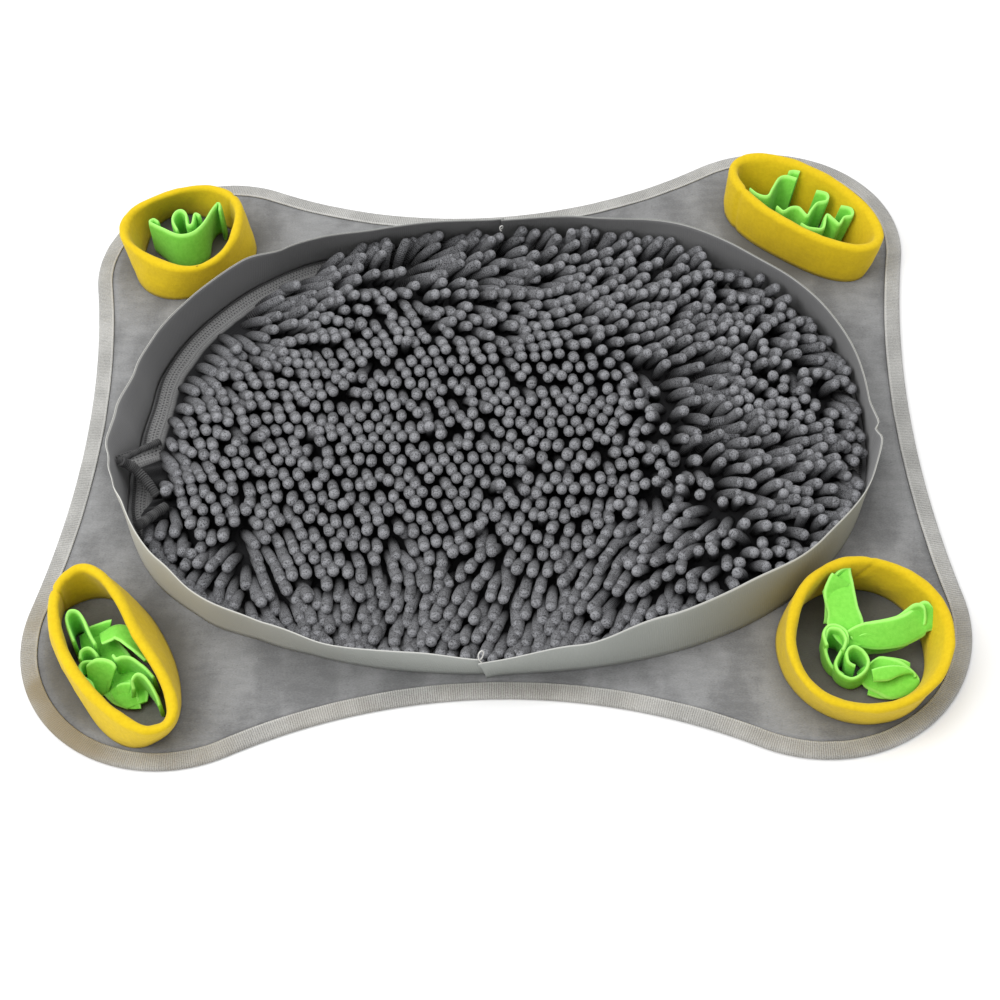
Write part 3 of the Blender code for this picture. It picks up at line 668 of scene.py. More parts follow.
@dataclass
class Skin:
    """A closed mesh skinned over rows of points, with the cloth's own UV map."""

    name: str
    rows: Array  # rows x points of a section x 3
    along: Array  # UV along the rows
    across: Array  # UV of a section's points
    ring: bool = False  # whether the last row joins the first
    turned: bool = False  # whether the UV's first direction runs across

    def build(self) -> bpy.types.Object:
        """Skin the rows.

        Returns:
            The object, its faces pointing out.
        """
        count, width = self.rows.shape[:2]
        faces, marks = [], []
        for i in range(count if self.ring else count - 1):
            following = (i + 1) % count
            for j in range(width):
                beside = (j + 1) % width
                faces.append((i * width + j, i * width + beside,
                              following * width + beside, following * width + j))
                left, right = self.across[j], self.across[j + 1]
                low, high = self.along[i], self.along[i + 1]
                marks += [(low, left), (low, right), (high, right), (high, left)]
        if not self.ring:
            for row, order in ((0, range(width - 1, -1, -1)), (count - 1, range(width))):
                faces.append(tuple(row * width + j for j in order))
                marks += [(self.along[row], self.across[j]) for j in order]
        if self.turned:
            marks = [mark[::-1] for mark in marks]
        return new_piece(self.name, self.rows.reshape(-1, 3), faces, marks)


def new_piece(name: str, points: Array, faces: Sequence[tuple[int, ...]],
              marks: Sequence[Pair]) -> bpy.types.Object:
    """Make a smooth mesh object that stands at the origin.

    Args:
        name: The piece's name.
        points: Its points, in metres.
        faces: The points of each face.
        marks: A UV for each corner of each face.

    Returns:
        The object, linked to the scene.
    """
    mesh = bpy.data.meshes.new(name)
    mesh.from_pydata(points.tolist(), [], faces)
    layer = mesh.uv_layers.new(name="cloth")
    layer.data.foreach_set("uv", np.asarray(marks, dtype=np.float32).ravel())
    if enclosed_volume(mesh) < 0:
        mesh.flip_normals()
    mesh.shade_smooth()
    mesh.update()
    piece = bpy.data.objects.new(name, mesh)
    bpy.context.scene.collection.objects.link(piece)
    return piece


def enclosed_volume(mesh: bpy.types.Mesh) -> float:
    """Measure a closed mesh.

    Args:
        mesh: The mesh.

    Returns:
        Its volume in cubic metres, below 0 where its faces point inwards.
    """
    mesh.calc_loop_triangles()
    points = np.empty(len(mesh.vertices) * 3)
    mesh.vertices.foreach_get("co", points)
    corners = np.empty(len(mesh.loop_triangles) * 3, dtype=np.int64)
    mesh.loop_triangles.foreach_get("vertices", corners)
    one, two, three = points.reshape(-1, 3)[corners.reshape(-1, 3)].transpose(1, 0, 2)
    return float(np.einsum("ij,ij->", one, np.cross(two, three)) / 6)


def dress(piece: bpy.types.Object, finish: Material, slot: str, *nodes: str) -> None:
    """Give a piece its material and its place on the model.

    Args:
        piece: The finished piece.
        finish: Its material.
        slot: The record's material slot; not used.
        nodes: The nodes that it replaces.
    """
    piece.data.materials.append(finish)
    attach(piece, BODY)
    if nodes:
        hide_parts(*nodes)
    LOG.info("%s: %d faces", piece.name, len(piece.data.polygons))


def tube_rows(path: Sequence[Vector], radii: Sequence[float], sides: int) -> Array:
    """Return the rings of a tube.

    Args:
        path: The tube's middle line.
        radii: Its radius at each point.
        sides: Points of a ring.

    Returns:
        Rings x points x 3.
    """
    rows = []
    over = Vector((0.3, 0.2, 1.0))  # no tube starts along this
    for i, (point, radius) in enumerate(zip(path, radii)):
        run = run_at(path, i).normalized()
        side = run.cross(over).normalized()
        over = side.cross(run)
        rows.append([tuple(point + side * (radius * cos(tau * k / sides))
                           + over * (radius * sin(tau * k / sides)))
                     for k in range(sides)])
    return np.array(rows)


def smooth_rows(rows: Sequence[Sequence[float]], steps: int) -> Rows:
    """Lay a smooth run through the rows of a table.

    Args:
        rows: The table's rows, in millimetres.
        steps: Stations from one row to the next.

    Returns:
        The stations, in metres.
    """
    padded = [rows[0], *rows, rows[-1]]
    found = []
    for i in range(len(rows) - 1):
        for step in range(steps + (i == len(rows) - 2)):
            t = step / steps
            found.append(tuple(
                0.5 * MM * (2 * b + (c - a) * t + (2 * a - 5 * b + 4 * c - d) * t ** 2
                            + (3 * b - a - 3 * c + d) * t ** 3)
                for a, b, c, d in zip(*padded[i:i + 4])))
    return found


def squared_oval(bearing: float, half_length: float, half_depth: float,
                 squareness: float) -> Vector:
    """Return a point of a squared oval about the origin.

    Args:
        bearing: The oval's parameter, in radians.
        half_length: Half its length along X.
        half_depth: Half its depth along Y.
        squareness: 2 for an ellipse, more for a squarer one.

    Returns:
        The point, in metres.
    """
    cosine, sine = cos(bearing), sin(bearing)
    power = 2.0 / squareness
    return Vector((half_length * copysign(abs(cosine) ** power, cosine),
                   half_depth * copysign(abs(sine) ** power, sine)))


# ---- lines that the mat follows ----
class Lobe(NamedTuple):
    """One corner arc of the mat and the inward arc after it, in millimetres."""

    x: float
    y: float
    radius: float
    waist: float  # radius of the inward arc

    def centre(self) -> Vector:
        """Return the corner arc's centre."""
        return Vector((self.x, self.y))


@dataclass(frozen=True)
class Outline:
    """The mat's outline: four corner arcs joined by four inward arcs."""

    lobes: tuple[Lobe, ...] = (
        Lobe(x=201, y=-169, radius=98, waist=831),
        Lobe(x=206.5, y=168.5, radius=95.5, waist=340),
        Lobe(x=-205.5, y=154, radius=90.5, waist=731),
        Lobe(x=-207, y=-169, radius=97, waist=376),
    )
    lobe_steps: int = 62
    waist_steps: int = 58

    def _waist_centre(self, index: int) -> Vector:
        """Find an inward arc.

        Args:
            index: The lobe before it.

        Returns:
            The arc's centre, in millimetres.
        """
        lobe, following = self.lobes[index], self.lobes[(index + 1) % len(self.lobes)]
        chord = following.centre() - lobe.centre()
        to_start, to_end = lobe.radius + lobe.waist, following.radius + lobe.waist
        along = ((chord.length_squared + to_start ** 2 - to_end ** 2)
                 / (2 * chord.length))
        aside = sqrt(to_start ** 2 - along ** 2)
        run = chord.normalized()
        return lobe.centre() + run * along + Vector((run.y, -run.x)) * aside

    def points(self, inset: float) -> Array:
        """Return the outline.

        Args:
            inset: How far it is drawn in, in metres.

        Returns:
            The points, counterclockwise, in metres.
        """
        found = []
        inset_mm = inset / MM
        centres = [self._waist_centre(i) for i in range(len(self.lobes))]
        for i, lobe in enumerate(self.lobes):
            before, after = centres[i - 1] - lobe.centre(), centres[i] - lobe.centre()
            start, end = atan2(before.y, before.x), atan2(after.y, after.x)
            end += tau if end < start else 0.0
            found += self._arc(lobe.centre(), lobe.radius - inset_mm, start, end,
                               self.lobe_steps)
            onward = self.lobes[(i + 1) % len(self.lobes)].centre() - centres[i]
            start, end = atan2(-after.y, -after.x), atan2(onward.y, onward.x)
            end -= tau if end > start else 0.0
            found += self._arc(centres[i], lobe.waist + inset_mm, start, end,
                               self.waist_steps)
        return np.array(found) * MM

    @staticmethod
    def _arc(centre: Vector, radius: float, start: float, end: float,
             steps: int) -> list[Pair]:
        """Return an arc.

        Args:
            centre: Its centre, in millimetres.
            radius: Its radius, in millimetres.
            start: Bearing of its first point, in radians.
            end: Bearing of its last point, which is left out.
            steps: The number of its points.

        Returns:
            The points, in millimetres.
        """
        turns = [start + (end - start) * step / steps for step in range(steps)]
        return [(centre.x + radius * cos(turn), centre.y + radius * sin(turn))
                for turn in turns]


class Reading(NamedTuple):
    """How far something stands out at a bearing from the wall's centre."""

    bearing: float  # degrees
    outward: float  # millimetres


def smooth_reading(table: Sequence[Reading], bearing: float) -> float:
    """Read a table of bearings that runs from -180 to 180 degrees.

    Args:
        table: The readings.
        bearing: A bearing, in degrees.

    Returns:
        The smoothed reading there, in metres.
    """
    bearing = (bearing + 180.0) % 360.0 - 180.0
    for low, high in zip(table, table[1:]):
        if low.bearing <= bearing <= high.bearing:
            share = (bearing - low.bearing) / (high.bearing - low.bearing)
            share = share * share * (3.0 - 2.0 * share)
            return (low.outward + (high.outward - low.outward) * share) * MM
    return table[0].outward * MM


@dataclass(frozen=True)
class WallLine:
    """The line that the standing wall follows on the base."""

    centre: Pair = (2 * MM, -13 * MM)
    half_length: float = 250 * MM
    half_depth: float = 190 * MM
    squareness: float = 2.25
    bend: float = 1.5  # above 1 the lean sets in higher up
    nudge: float = 0.5  # degrees either way, to find its run
    # how far the foot stands outside the oval
    bows: tuple[Reading, ...] = tuple(Reading(*row) for row in (
        (-180, -2), (-172, 4), (-165, 8.5), (-153, 10.5), (-143, 7.8), (-132, 1.7),
        (-124, 0), (116, 0), (130, 4.5), (139, 2.5), (152, 0), (165, -1), (173, -4),
        (180, -2),
    ))
    # how far the top stands out from the foot
    leans: tuple[Reading, ...] = tuple(Reading(*row) for row in (
        (-180, 9.3), (-175, 8.8), (-170, 5.8), (-166, 1.8), (-162, -0.6), (-150, 0.5),
        (-143, 5), (-130, 9), (-120, 12), (-105, 10), (-92, 13.5), (-76, 7), (-60, -3),
        (-45, -6), (-30, -1), (-15, 4), (-9, 5), (-1, -3), (20, -6), (35, -8), (50, -5),
        (70, -12), (90, -16), (108, -14.5), (128, -14), (135, -12), (143, -5),
        (155, -4), (165, -0.5), (172, 4), (180, 9.3),
    ))

    def _on_oval(self, bearing: float) -> Vector:
        """Look from the oval's centre.

        Args:
            bearing: True bearing, in radians.

        Returns:
            The oval's point there, in metres.
        """
        cosine, sine = cos(bearing), sin(bearing)
        half = self.squareness / 2
        across = copysign(abs(cosine / self.half_length) ** half, cosine)
        along = copysign(abs(sine / self.half_depth) ** half, sine)
        return squared_oval(atan2(along, across), self.half_length,
                            self.half_depth, self.squareness)

    def foot(self, bearing: float, inset: float = 0.0) -> tuple[Vector, Vector]:
        """Return where the wall stands.

        Args:
            bearing: True bearing from the wall's centre, in degrees.
            inset: Distance inside the wall's middle line, in metres.

        Returns:
            The point, and the outward direction there.
        """
        turn, nudge = radians(bearing), radians(self.nudge)
        run = self._on_oval(turn + nudge) - self._on_oval(turn - nudge)
        outward = Vector((run.y, -run.x)).normalized()
        aside = smooth_reading(self.bows, bearing) - inset
        return self._on_oval(turn) + Vector(self.centre) + outward * aside, outward

    def lean(self, bearing: float) -> float:
        """Return how far the top stands out at a bearing in degrees, in metres."""
        return smooth_reading(self.leans, bearing)

    def distances(self, turns: Array, risen: Array) -> Array:
        """Measure from the wall's centre to the wall.

        Args:
            turns: Directions from the centre, in radians.
            risen: Heights at which to measure, as shares of the wall's height.

        Returns:
            The distances, in metres.
        """
        feet, tops = [], []
        for bearing in range(-180, 180):
            foot, outward = self.foot(bearing)
            spot = foot - Vector(self.centre)
            feet.append(tuple(spot))
            tops.append(tuple(spot + outward * self.lean(bearing)))
        low, high = (np.interp(turns, np.arctan2(line[:, 1], line[:, 0]),
                               np.hypot(line[:, 0], line[:, 1]), period=tau)
                     for line in (np.array(feet), np.array(tops)))
        return low + (high - low) * risen ** self.bend


# ---- base and tape ----
class Crease(NamedTuple):
    """A soft crease pressed into the base cloth, in millimetres."""

    x: float
    y: float
    to_x: float
    to_y: float
    width: float
    depth: float

    def dip(self, x: float, y: float) -> float:
        """Measure the crease at a place.

        Args:
            x: Place along X, in millimetres.
            y: Place along Y, in millimetres.

        Returns:
            How deep it is there, in metres.
        """
        run_x, run_y = self.to_x - self.x, self.to_y - self.y
        share = ((x - self.x) * run_x + (y - self.y) * run_y) / (run_x ** 2 + run_y ** 2)
        share = min(max(share, 0.0), 1.0)
        away = hypot(x - self.x - share * run_x, y - self.y - share * run_y)
        return self.depth * MM * exp(-(away / self.width) ** 2)


@dataclass
class BaseCloth:
    """Flat lobed base cloth whose thinner rim lies inside the tape."""

    outline: Outline
    thickness: float = 3 * MM
    tongue_low: float = 1.3 * MM
    tongue_high: float = 2.7 * MM
    rim_inset: float = 1.3 * MM
    step_inset: float = 11.3 * MM
    rings: int = 58
    core: float = 0.05  # share of the outline that the last ring spans
    swell: float = 0.22 * MM
    swell_size: float = 34 * MM
    swell_seed: float = 3.0
    onset: float = 3.0  # how soon the swells set in from the tape
    creases: tuple[Crease, ...] = tuple(Crease(*row) for row in (
        (183, -158, 196, -178, 2.2, 0.9), (-285, -40, -262, -60, 4, 0.8),
        (-287, 30, -266, 18, 5, 0.7), (-20, -232, 10, -206, 6, 0.7),
        (-120, -222, -98, -205, 6, 0.6), (60, -226, 84, -212, 5, 0.6),
        (150, -236, 172, -222, 6, 0.8), (262, -60, 284, -48, 5, 0.7),
        (266, 60, 288, 84, 5, 0.8), (-150, 206, -128, 194, 5, 0.6),
        (110, 216, 136, 198, 5, 0.6), (236, -250, 250, -238, 4, 0.8),
        (-78, -221, -68, -206, 2.6, 0.7), (-54, -224, -47, -207, 2.4, 0.8),
        (-31, -226, -26, -207, 2.6, 0.9), (13, -228, 17, -210, 2.4, 0.7),
        (37, -225, 30, -208, 2.6, 0.8), (66, -224, 56, -208, 2.8, 0.6),
    ))

    def _top(self, x: float, y: float, edge: float) -> float:
        """Return the height of the cloth's face.

        Args:
            x: Place along X, in metres.
            y: Place along Y, in metres.
            edge: 0 at the tape, 1 inside.

        Returns:
            The height, in metres.
        """
        swell = self.swell * ripple((x, y, 0.0), self.swell_size, self.swell_seed)
        dips = sum(crease.dip(x / MM, y / MM) for crease in self.creases)
        return self.thickness + (swell - self.swell - dips) * edge

    def dress(self) -> None:
        """Build the base cloth in its node's place."""
        step, rim = (self.outline.points(inset)
                     for inset in (self.step_inset, self.rim_inset))
        rows = [level(step * self.core, 0.0), level(step, 0.0),
                level(step, self.tongue_low), level(rim, self.tongue_low),
                level(rim, self.tongue_high), level(step, self.tongue_high)]
        for ring in range(self.rings + 1):
            share = 1.0 - (1.0 - self.core) * ring / self.rings
            edge = min(1.0, self.onset * ring / self.rings)
            rows.append(np.array([(x, y, self._top(x, y, edge))
                                  for x, y in step * share]))
        piece = Skin(BASE_PIECE, np.array(rows), np.linspace(0.0, 1.0, len(rows)),
                     running_lengths(step, closed=True)).build()
        dress(piece, FeltFinish().make(), "base_cloth", "base_mat")
        size, area = cut_size(self.outline.points(0.0))


@dataclass
class EdgeTape:
    """Tape folded round the edge of the base."""

    outline: Outline
    width: float = 11 * MM
    thickness: float = 1 * MM
    height: float = 4 * MM
    corner: float = 1.5 * MM
    belly: float = 0.1 * MM  # how far the upper layer stands up
    edge: float = 0.35 * MM  # how far its inner edge is rounded off
    edge_width: float = 0.6 * MM  # and over what width
    stations: int = 960
    pucker: float = 0.22 * MM
    pucker_size: float = 11 * MM
    drift: float = 0.35 * MM  # of the width
    drift_size: float = 26 * MM

    def _section(self, width: float, lift: float) -> list[Pair]:
        """Return one section of the tape.

        Args:
            width: Distance from the fold to the inner edge.
            lift: How far the upper layer is puckered up.

        Returns:
            Points as inset and height, from the lower layer's edge round the fold.
        """
        corner, bevel, top = self.corner, self.corner * 0.3, self.height + lift
        inner, under = self.thickness, self.height - self.thickness
        return [
            (width, 0.0), (width * 0.5, 0.0), (corner, 0.0), (bevel, bevel),
            (0.0, corner), (0.0, top - corner), (bevel, top - bevel), (corner, top),
            (width * 0.3, top + self.belly * 0.8), (width * 0.6, top + self.belly),
            (width * 0.8, top - self.belly / 2), (width - self.edge_width, top),
            (width, top - self.edge), (width, under), (width * 0.5, under),
            (inner, under), (inner, inner), (width, inner),
        ]

    def _line(self) -> tuple[Array, Array]:
        """Walk round the edge in even steps.

        Returns:
            Its points and the outward direction at each.
        """
        line = self.outline.points(0.0)
        lengths = running_lengths(line, closed=True)
        marks = np.linspace(0.0, lengths[-1], self.stations, endpoint=False)
        closed = np.vstack([line, line[:1]])
        even = np.column_stack([np.interp(marks, lengths, closed[:, axis])
                                for axis in (0, 1)])
        run = np.roll(even, -1, axis=0) - np.roll(even, 1, axis=0)
        run /= np.linalg.norm(run, axis=1)[:, None]
        return even, np.column_stack([run[:, 1], -run[:, 0]])

    def dress(self) -> None:
        """Build the tape in its node's place."""
        line, outward = self._line()
        rows = []
        for place, out in zip(line, outward):
            spot = (float(place[0]), float(place[1]), 0.0)
            lift = self.pucker * ripple(spot, self.pucker_size, 5.0)
            width = self.width + self.drift * ripple(spot, self.drift_size, 9.0)
            rows.append([(*(place - out * inset), height)
                         for inset, height in self._section(width, lift)])
        along = running_lengths(line, closed=True)
        section = self._section(self.width, 0.0)
        across = np.array([inset for inset, _ in section] + [section[0][0]])
        piece = Skin("edge_tape_fine", np.array(rows), along, across, ring=True).build()
        dress(piece, TapeFinish().make(), "edge_tape", "edge_binding")


# ---- wall ----
class Tuck(NamedTuple):
    """A narrow fold pressed into the wall."""

    bearing: float  # degrees
    spread: float  # degrees
    outward: float  # metres at the top edge
    power: float = 2.0  # above 1 it shows near the top only


@dataclass
class WallHalf:
    """One length of webbing, on its edge round half the pad."""

    name: str
    node: str
    line: WallLine
    finish: Material
    start: float  # bearings of its ends, degrees
    end: float
    slant_start: float = 0.0  # bearing of an end's top from its foot
    slant_end: float = 0.0
    over_start: float = 0.0  # over its neighbour, degrees
    proud: float = 0.0  # how far that end stands out, metres
    proud_fade: float = 2.5  # degrees
    thickness: float = 1.3 * MM
    crown: float = 0.35 * MM  # how far the selvedge rounds up
    crown_share: float = 0.55  # of the thickness, just below it
    stations: int = 300
    levels: int = 9
    wobble: float = 0.9 * MM
    wobble_size: float = 38 * MM
    wobble_seed: float = 12.0
    tucks: tuple[Tuck, ...] = ()

    def _row(self, bearing: float, slant: float, out: float) -> Rows:
        """Return one section of the wall.

        Args:
            bearing: Bearing of its foot, in degrees.
            slant: Bearing of its top less that of its foot.
            out: How far the section is pushed outwards, in metres.

        Returns:
            Points from the inner foot over the top to the outer foot.
        """
        inner, outer = [], []
        half = self.thickness / 2
        for number in range(self.levels + 1):
            share = number / self.levels
            turned = bearing + slant * share
            foot, outward = self.line.foot(turned)
            lean = self.line.lean(turned)
            rise = sqrt(WALL_HEIGHT ** 2 - lean ** 2) * share
            spot = (foot.x, foot.y, rise)
            push = lean * share ** self.line.bend + out
            push += self.wobble * share * ripple(spot, self.wobble_size, self.wobble_seed)
            for tuck in self.tucks:
                away = (turned - tuck.bearing) / tuck.spread
                push += tuck.outward * share ** tuck.power * exp(-away * away)
            place = foot + outward * push
            slim = half * (self.crown_share if number == self.levels else 1.0)
            inner.append((*(place - outward * slim), SEAM_HEIGHT + rise))
            outer.append((*(place + outward * slim), SEAM_HEIGHT + rise))
        crown = [(*((Vector(inner[-1][:2]) + Vector(outer[-1][:2])) / 2),
                  inner[-1][2] + self.crown)]
        return inner + crown + list(reversed(outer))

    def dress(self) -> None:
        """Build this half in its node's place."""
        rows, feet = [], []
        start = self.start - self.over_start
        for step in range(self.stations + 1):
            share = step / self.stations
            bearing = start + (self.end - start) * share
            slant = self.slant_start + (self.slant_end - self.slant_start) * share
            out = self.proud * exp(-(bearing - start) / self.proud_fade)
            rows.append(self._row(bearing, slant, out))
            feet.append(tuple(self.line.foot(bearing)[0]))
        along = running_lengths(np.array(feet), closed=False)
        up = np.linspace(0.0, WALL_HEIGHT, self.levels + 1)
        across = np.concatenate([up, [-WALL_HEIGHT], -up[::-1], [0.0]])
        piece = Skin(self.name, np.array(rows), along, across).build()
        dress(piece, self.finish, "wall_webbing", self.node)


@dataclass
class ThreadLoop:
    """A loop of sewing thread left at a join of the wall."""

    name: str
    finish: Material
    foot: Place
    heading: float  # degrees, the side to which the loop falls
    height: float = 11 * MM
    breadth: float = 5 * MM
    spread: float = 2.4 * MM  # from the loop's first end to its last
    radius: float = 0.42 * MM
    first_turn: float = 0.2  # radians
    turned: float = 0.94  # share of a whole turn
    slimness: float = 0.35  # of its foot, as a share of its top's width
    steps: int = 26
    sides: int = 8

    def dress(self) -> None:
        """Build the loop and let it ride with the mat."""
        turn = radians(self.heading)
        side = Vector((cos(turn), sin(turn), 0.0))
        beside = side.cross(Vector((0, 0, 1)))
        path = []
        for step in range(self.steps + 1):
            angle = tau * (step / self.steps) * self.turned + self.first_turn
            swing = sin(angle) * (
                self.slimness + (1.0 - self.slimness) * sin(angle / 2))
            path.append(Vector(self.foot) + side * (self.breadth / 2 * swing)
                        + Vector((0.0, 0.0, self.height / 2 * (1 - cos(angle))))
                        + beside * (self.spread * step / self.steps))
        along = running_lengths(np.array([tuple(point) for point in path]), closed=False)
        piece = Skin(self.name, tube_rows(path, [self.radius] * len(path), self.sides),
                     along, np.linspace(0.0, 1.0, self.sides + 1)).build()
        dress(piece, self.finish, "wall_webbing")


# ---- pad ----
@dataclass
class KnitGround:
    """Knitted ground cloth of the pad, whose hem shows at the left."""

    line: WallLine
    finish: Material
    inset: float = 3.6 * MM
    thickness: float = 2.2 * MM
    core: float = 0.2  # share of the outline that closes it below
    welt: float = 11 * MM  # width of the hem
    welt_rise: float = 1.3 * MM
    welt_foot: float = 0.35  # share of that rise at its two edges
    welt_rows: tuple[float, ...] = (0.0, 0.25, 0.5, 0.75, 0.93, 1.0)
    slope: float = 2.4 * MM  # how much higher its outer edge lies
    step: float = 0.4 * MM  # from the hem to the flat cloth inside it
    inner_rows: tuple[float, ...] = (1.0, 0.93, 0.8, 0.5, 0.15)
    inner_marks: float = 120 * MM  # of the map over the flat cloth
    unevenness: float = 0.25 * MM
    edge_wander: float = 0.8 * MM
    wander_size: float = 9 * MM
    shown: float = 158.0  # bearing of the middle of the hem that shows
    half_shown: float = 22.0  # degrees either way, before it fades
    fade: float = 12.0
    steps: int = 360

    def raised(self, bearing: float) -> float:
        """Return how much of the hem shows at a bearing, from 0 to 1."""
        away = abs((bearing - self.shown + 180.0) % 360.0 - 180.0)
        return 1.0 - min(max((away - self.half_shown) / self.fade, 0.0), 1.0)

    def dress(self) -> None:
        """Build the ground cloth as part of the pad."""
        bearings = np.linspace(-180.0, 180.0, self.steps, endpoint=False)
        edge = np.array([tuple(self.line.foot(b, self.inset)[0]) for b in bearings])
        outward = np.array([tuple(self.line.foot(b)[1]) for b in bearings])
        raised = np.array([self.raised(b) for b in bearings])
        fine = np.array([ripple((*spot, 0.0), self.wander_size, 21.0) for spot in edge])
        top = SEAM_HEIGHT + self.thickness
        rows = [level(edge * self.core, SEAM_HEIGHT), level(edge, SEAM_HEIGHT)]
        marks = [200 * MM, 0.0]
        wander = self.welt + self.edge_wander * fine
        for share in self.welt_rows:
            rise = self.welt_rise * (1.0 if 0.0 < share < 1.0 else self.welt_foot)
            height = top + raised * (rise + self.slope * (1.0 - share))
            rows.append(level(edge - outward * (wander * share)[:, None],
                              height + self.unevenness * fine))
            marks.append(self.welt * share)
        inner = edge - outward * (wander + self.step)[:, None]
        centre = np.array(self.line.centre)
        for share in self.inner_rows:
            rows.append(level(centre + (inner - centre) * share, top))
            marks.append(self.welt + 1 * MM + self.inner_marks * (1.0 - share))
        piece = Skin("knit_ground", np.array(rows), np.array(marks),
                     running_lengths(edge, closed=True), turned=True).build()
        dress(piece, self.finish, "chenille", "chenille_pad")


class Edges(NamedTuple):
    """The two long edges of a turned cloth at one place, in millimetres."""

    x: float
    y: float
    z: float
    far_x: float
    far_y: float
    far_z: float


def edge_stations(table: Sequence[Edges], steps: int) -> list[tuple[Vector, Vector]]:
    """Lay both edges of a cloth through a table, in metres."""
    return [(Vector(row[:3]), Vector(row[3:])) for row in smooth_rows(table, steps)]


@dataclass(frozen=True)
class RolledHem:
    """A rolled edge of the turned up corner."""

    name: str
    points: tuple[Place, ...]  # millimetres, down from the wall
    radius: float
    steps: int = 40
    sides: int = 10
    rib: float = 1.9 * MM
    rib_depth: float = 0.08  # share of the radius
    wander: float = 0.4 * MM
    wander_size: float = 7 * MM
    inset: float = 1 * MM  # where the finish has its rolled edge

    def build(self, finish: Material) -> bpy.types.Object:
        """Build the roll and let it ride with the mat.

        Args:
            finish: The knit's material.

        Returns:
            The roll.
        """
        places = np.array(smooth_rows(self.points, self.steps))
        along = running_lengths(places, closed=False)
        path = [Vector(place) for place in places]
        radii = [self.radius * (1 + self.rib_depth * sin(tau * run / self.rib))
                 + self.wander * ripple(place, self.wander_size, 12.0)
                 for place, run in zip(path, along)]
        piece = Skin(self.name, tube_rows(path, radii, self.sides), along,
                     np.full(self.sides + 1, self.inset)).build()
        dress(piece, finish, "chenille", "chenille_pad")
        return piece


@dataclass
class TurnedGround:
    """The corner of the ground cloth that is turned up."""

    finish: Material
    # on the ground, and against the wall
    rows: tuple[Edges, ...] = tuple(Edges(*row) for row in (
        (-231, -14, 9, -252.5, -47, 34), (-228, -24, 6, -246.5, -52, 28),
        (-225, -34, 5, -236.5, -53, 19), (-223, -46, 5, -230.5, -57, 11),
        (-221, -58, 5, -230, -68, 12), (-220, -68, 5, -233, -84, 20),
        (-219, -78, 5, -232, -97, 25),
    ))
    rolls: tuple[RolledHem, ...] = (
        RolledHem("turned_hem_back",
                  ((-249.5, -51, 34.5), (-241.7, -34, 22.5), (-230.5, -19, 14)),
                  radius=2.1 * MM),
        RolledHem("turned_hem_middle",
                  ((-248.5, -51, 33.5), (-242.8, -49.8, 25.5), (-235.5, -54.5, 19),
                   (-226.6, -65, 13)), radius=3.3 * MM),
        RolledHem("turned_hem_front",
                  ((-232.6, -100.5, 28), (-227.4, -88, 20.5), (-219.5, -76, 16)),
                  radius=3.3 * MM),
    )
    thickness: float = 1.8 * MM
    steps: int = 14
    across_steps: int = 16
    hem: float = 3.2 * MM
    hem_thickness: float = 3.6 * MM
    pleat: float = 0.9 * MM
    pleat_pitch: float = 9 * MM
    pleat_slant: float = 2.0  # radians from one edge to the other
    wander: float = 0.3 * MM
    wander_size: float = 6 * MM
    rim_share: float = 0.6  # of the thickness, at both long edges

    def _section(self, low: Vector, high: Vector, run: Vector, along: float,
                 first: bool) -> Rows:
        """Return one section of the flap.

        Args:
            low: Its edge on the ground.
            high: Its edge against the wall.
            run: Direction along the flap.
            along: Distance from the flap's first edge.
            first: Whether the section is that edge.

        Returns:
            Points up one face and down the other.
        """
        normal = (high - low).cross(run).normalized()
        hem = max(0.0, 1.0 - along / self.hem)
        half = (self.thickness + (self.hem_thickness - self.thickness)
                * sqrt(hem)) / 2 * (0.5 if first else 1.0)
        front, back = [], []
        for step in range(self.across_steps + 1):
            share = step / self.across_steps
            fold = sin(tau * along / self.pleat_pitch + self.pleat_slant * share)
            fold *= self.pleat * sin(pi * share) * (1.0 - hem)
            place = low.lerp(high, share)
            fold += self.wander * ripple(place, self.wander_size, 31.0)
            slim = half * (self.rim_share if step in (0, self.across_steps) else 1.0)
            front.append(tuple(place + normal * (fold + slim)))
            back.append(tuple(place + normal * (fold - slim)))
        return front + list(reversed(back))

    def dress(self) -> None:
        """Build the flap as part of the pad."""
        edges = edge_stations(self.rows, self.steps)
        middles = np.array([tuple((low + high) / 2) for low, high in edges])
        along = running_lengths(middles, closed=False)
        widths = [(high - low).length for low, high in edges]
        rows = [self._section(low, high, run_at(middles, i), along[i], first=i == 0)
                for i, (low, high) in enumerate(edges)]
        across = np.linspace(0.0, float(np.mean(widths)), self.across_steps + 1)
        across = np.concatenate([across, across[::-1], [0.0]])
        piece = Skin("turned_ground", np.array(rows), along, across, turned=True).build()
        dress(piece, self.finish, "chenille", "chenille_pad")
        [roll.build(self.finish) for roll in self.rolls]


class Comb(NamedTuple):
    """How far tips lie from their roots round one place, in millimetres."""

    x: float
    y: float
    reach: float
    push_x: float
    push_y: float


class Hollow(NamedTuple):
    """A place where the pile parts and sinks, in millimetres."""

    x: float
    y: float
    reach: float
    part: float = 3.0
    drop: float = 4.5


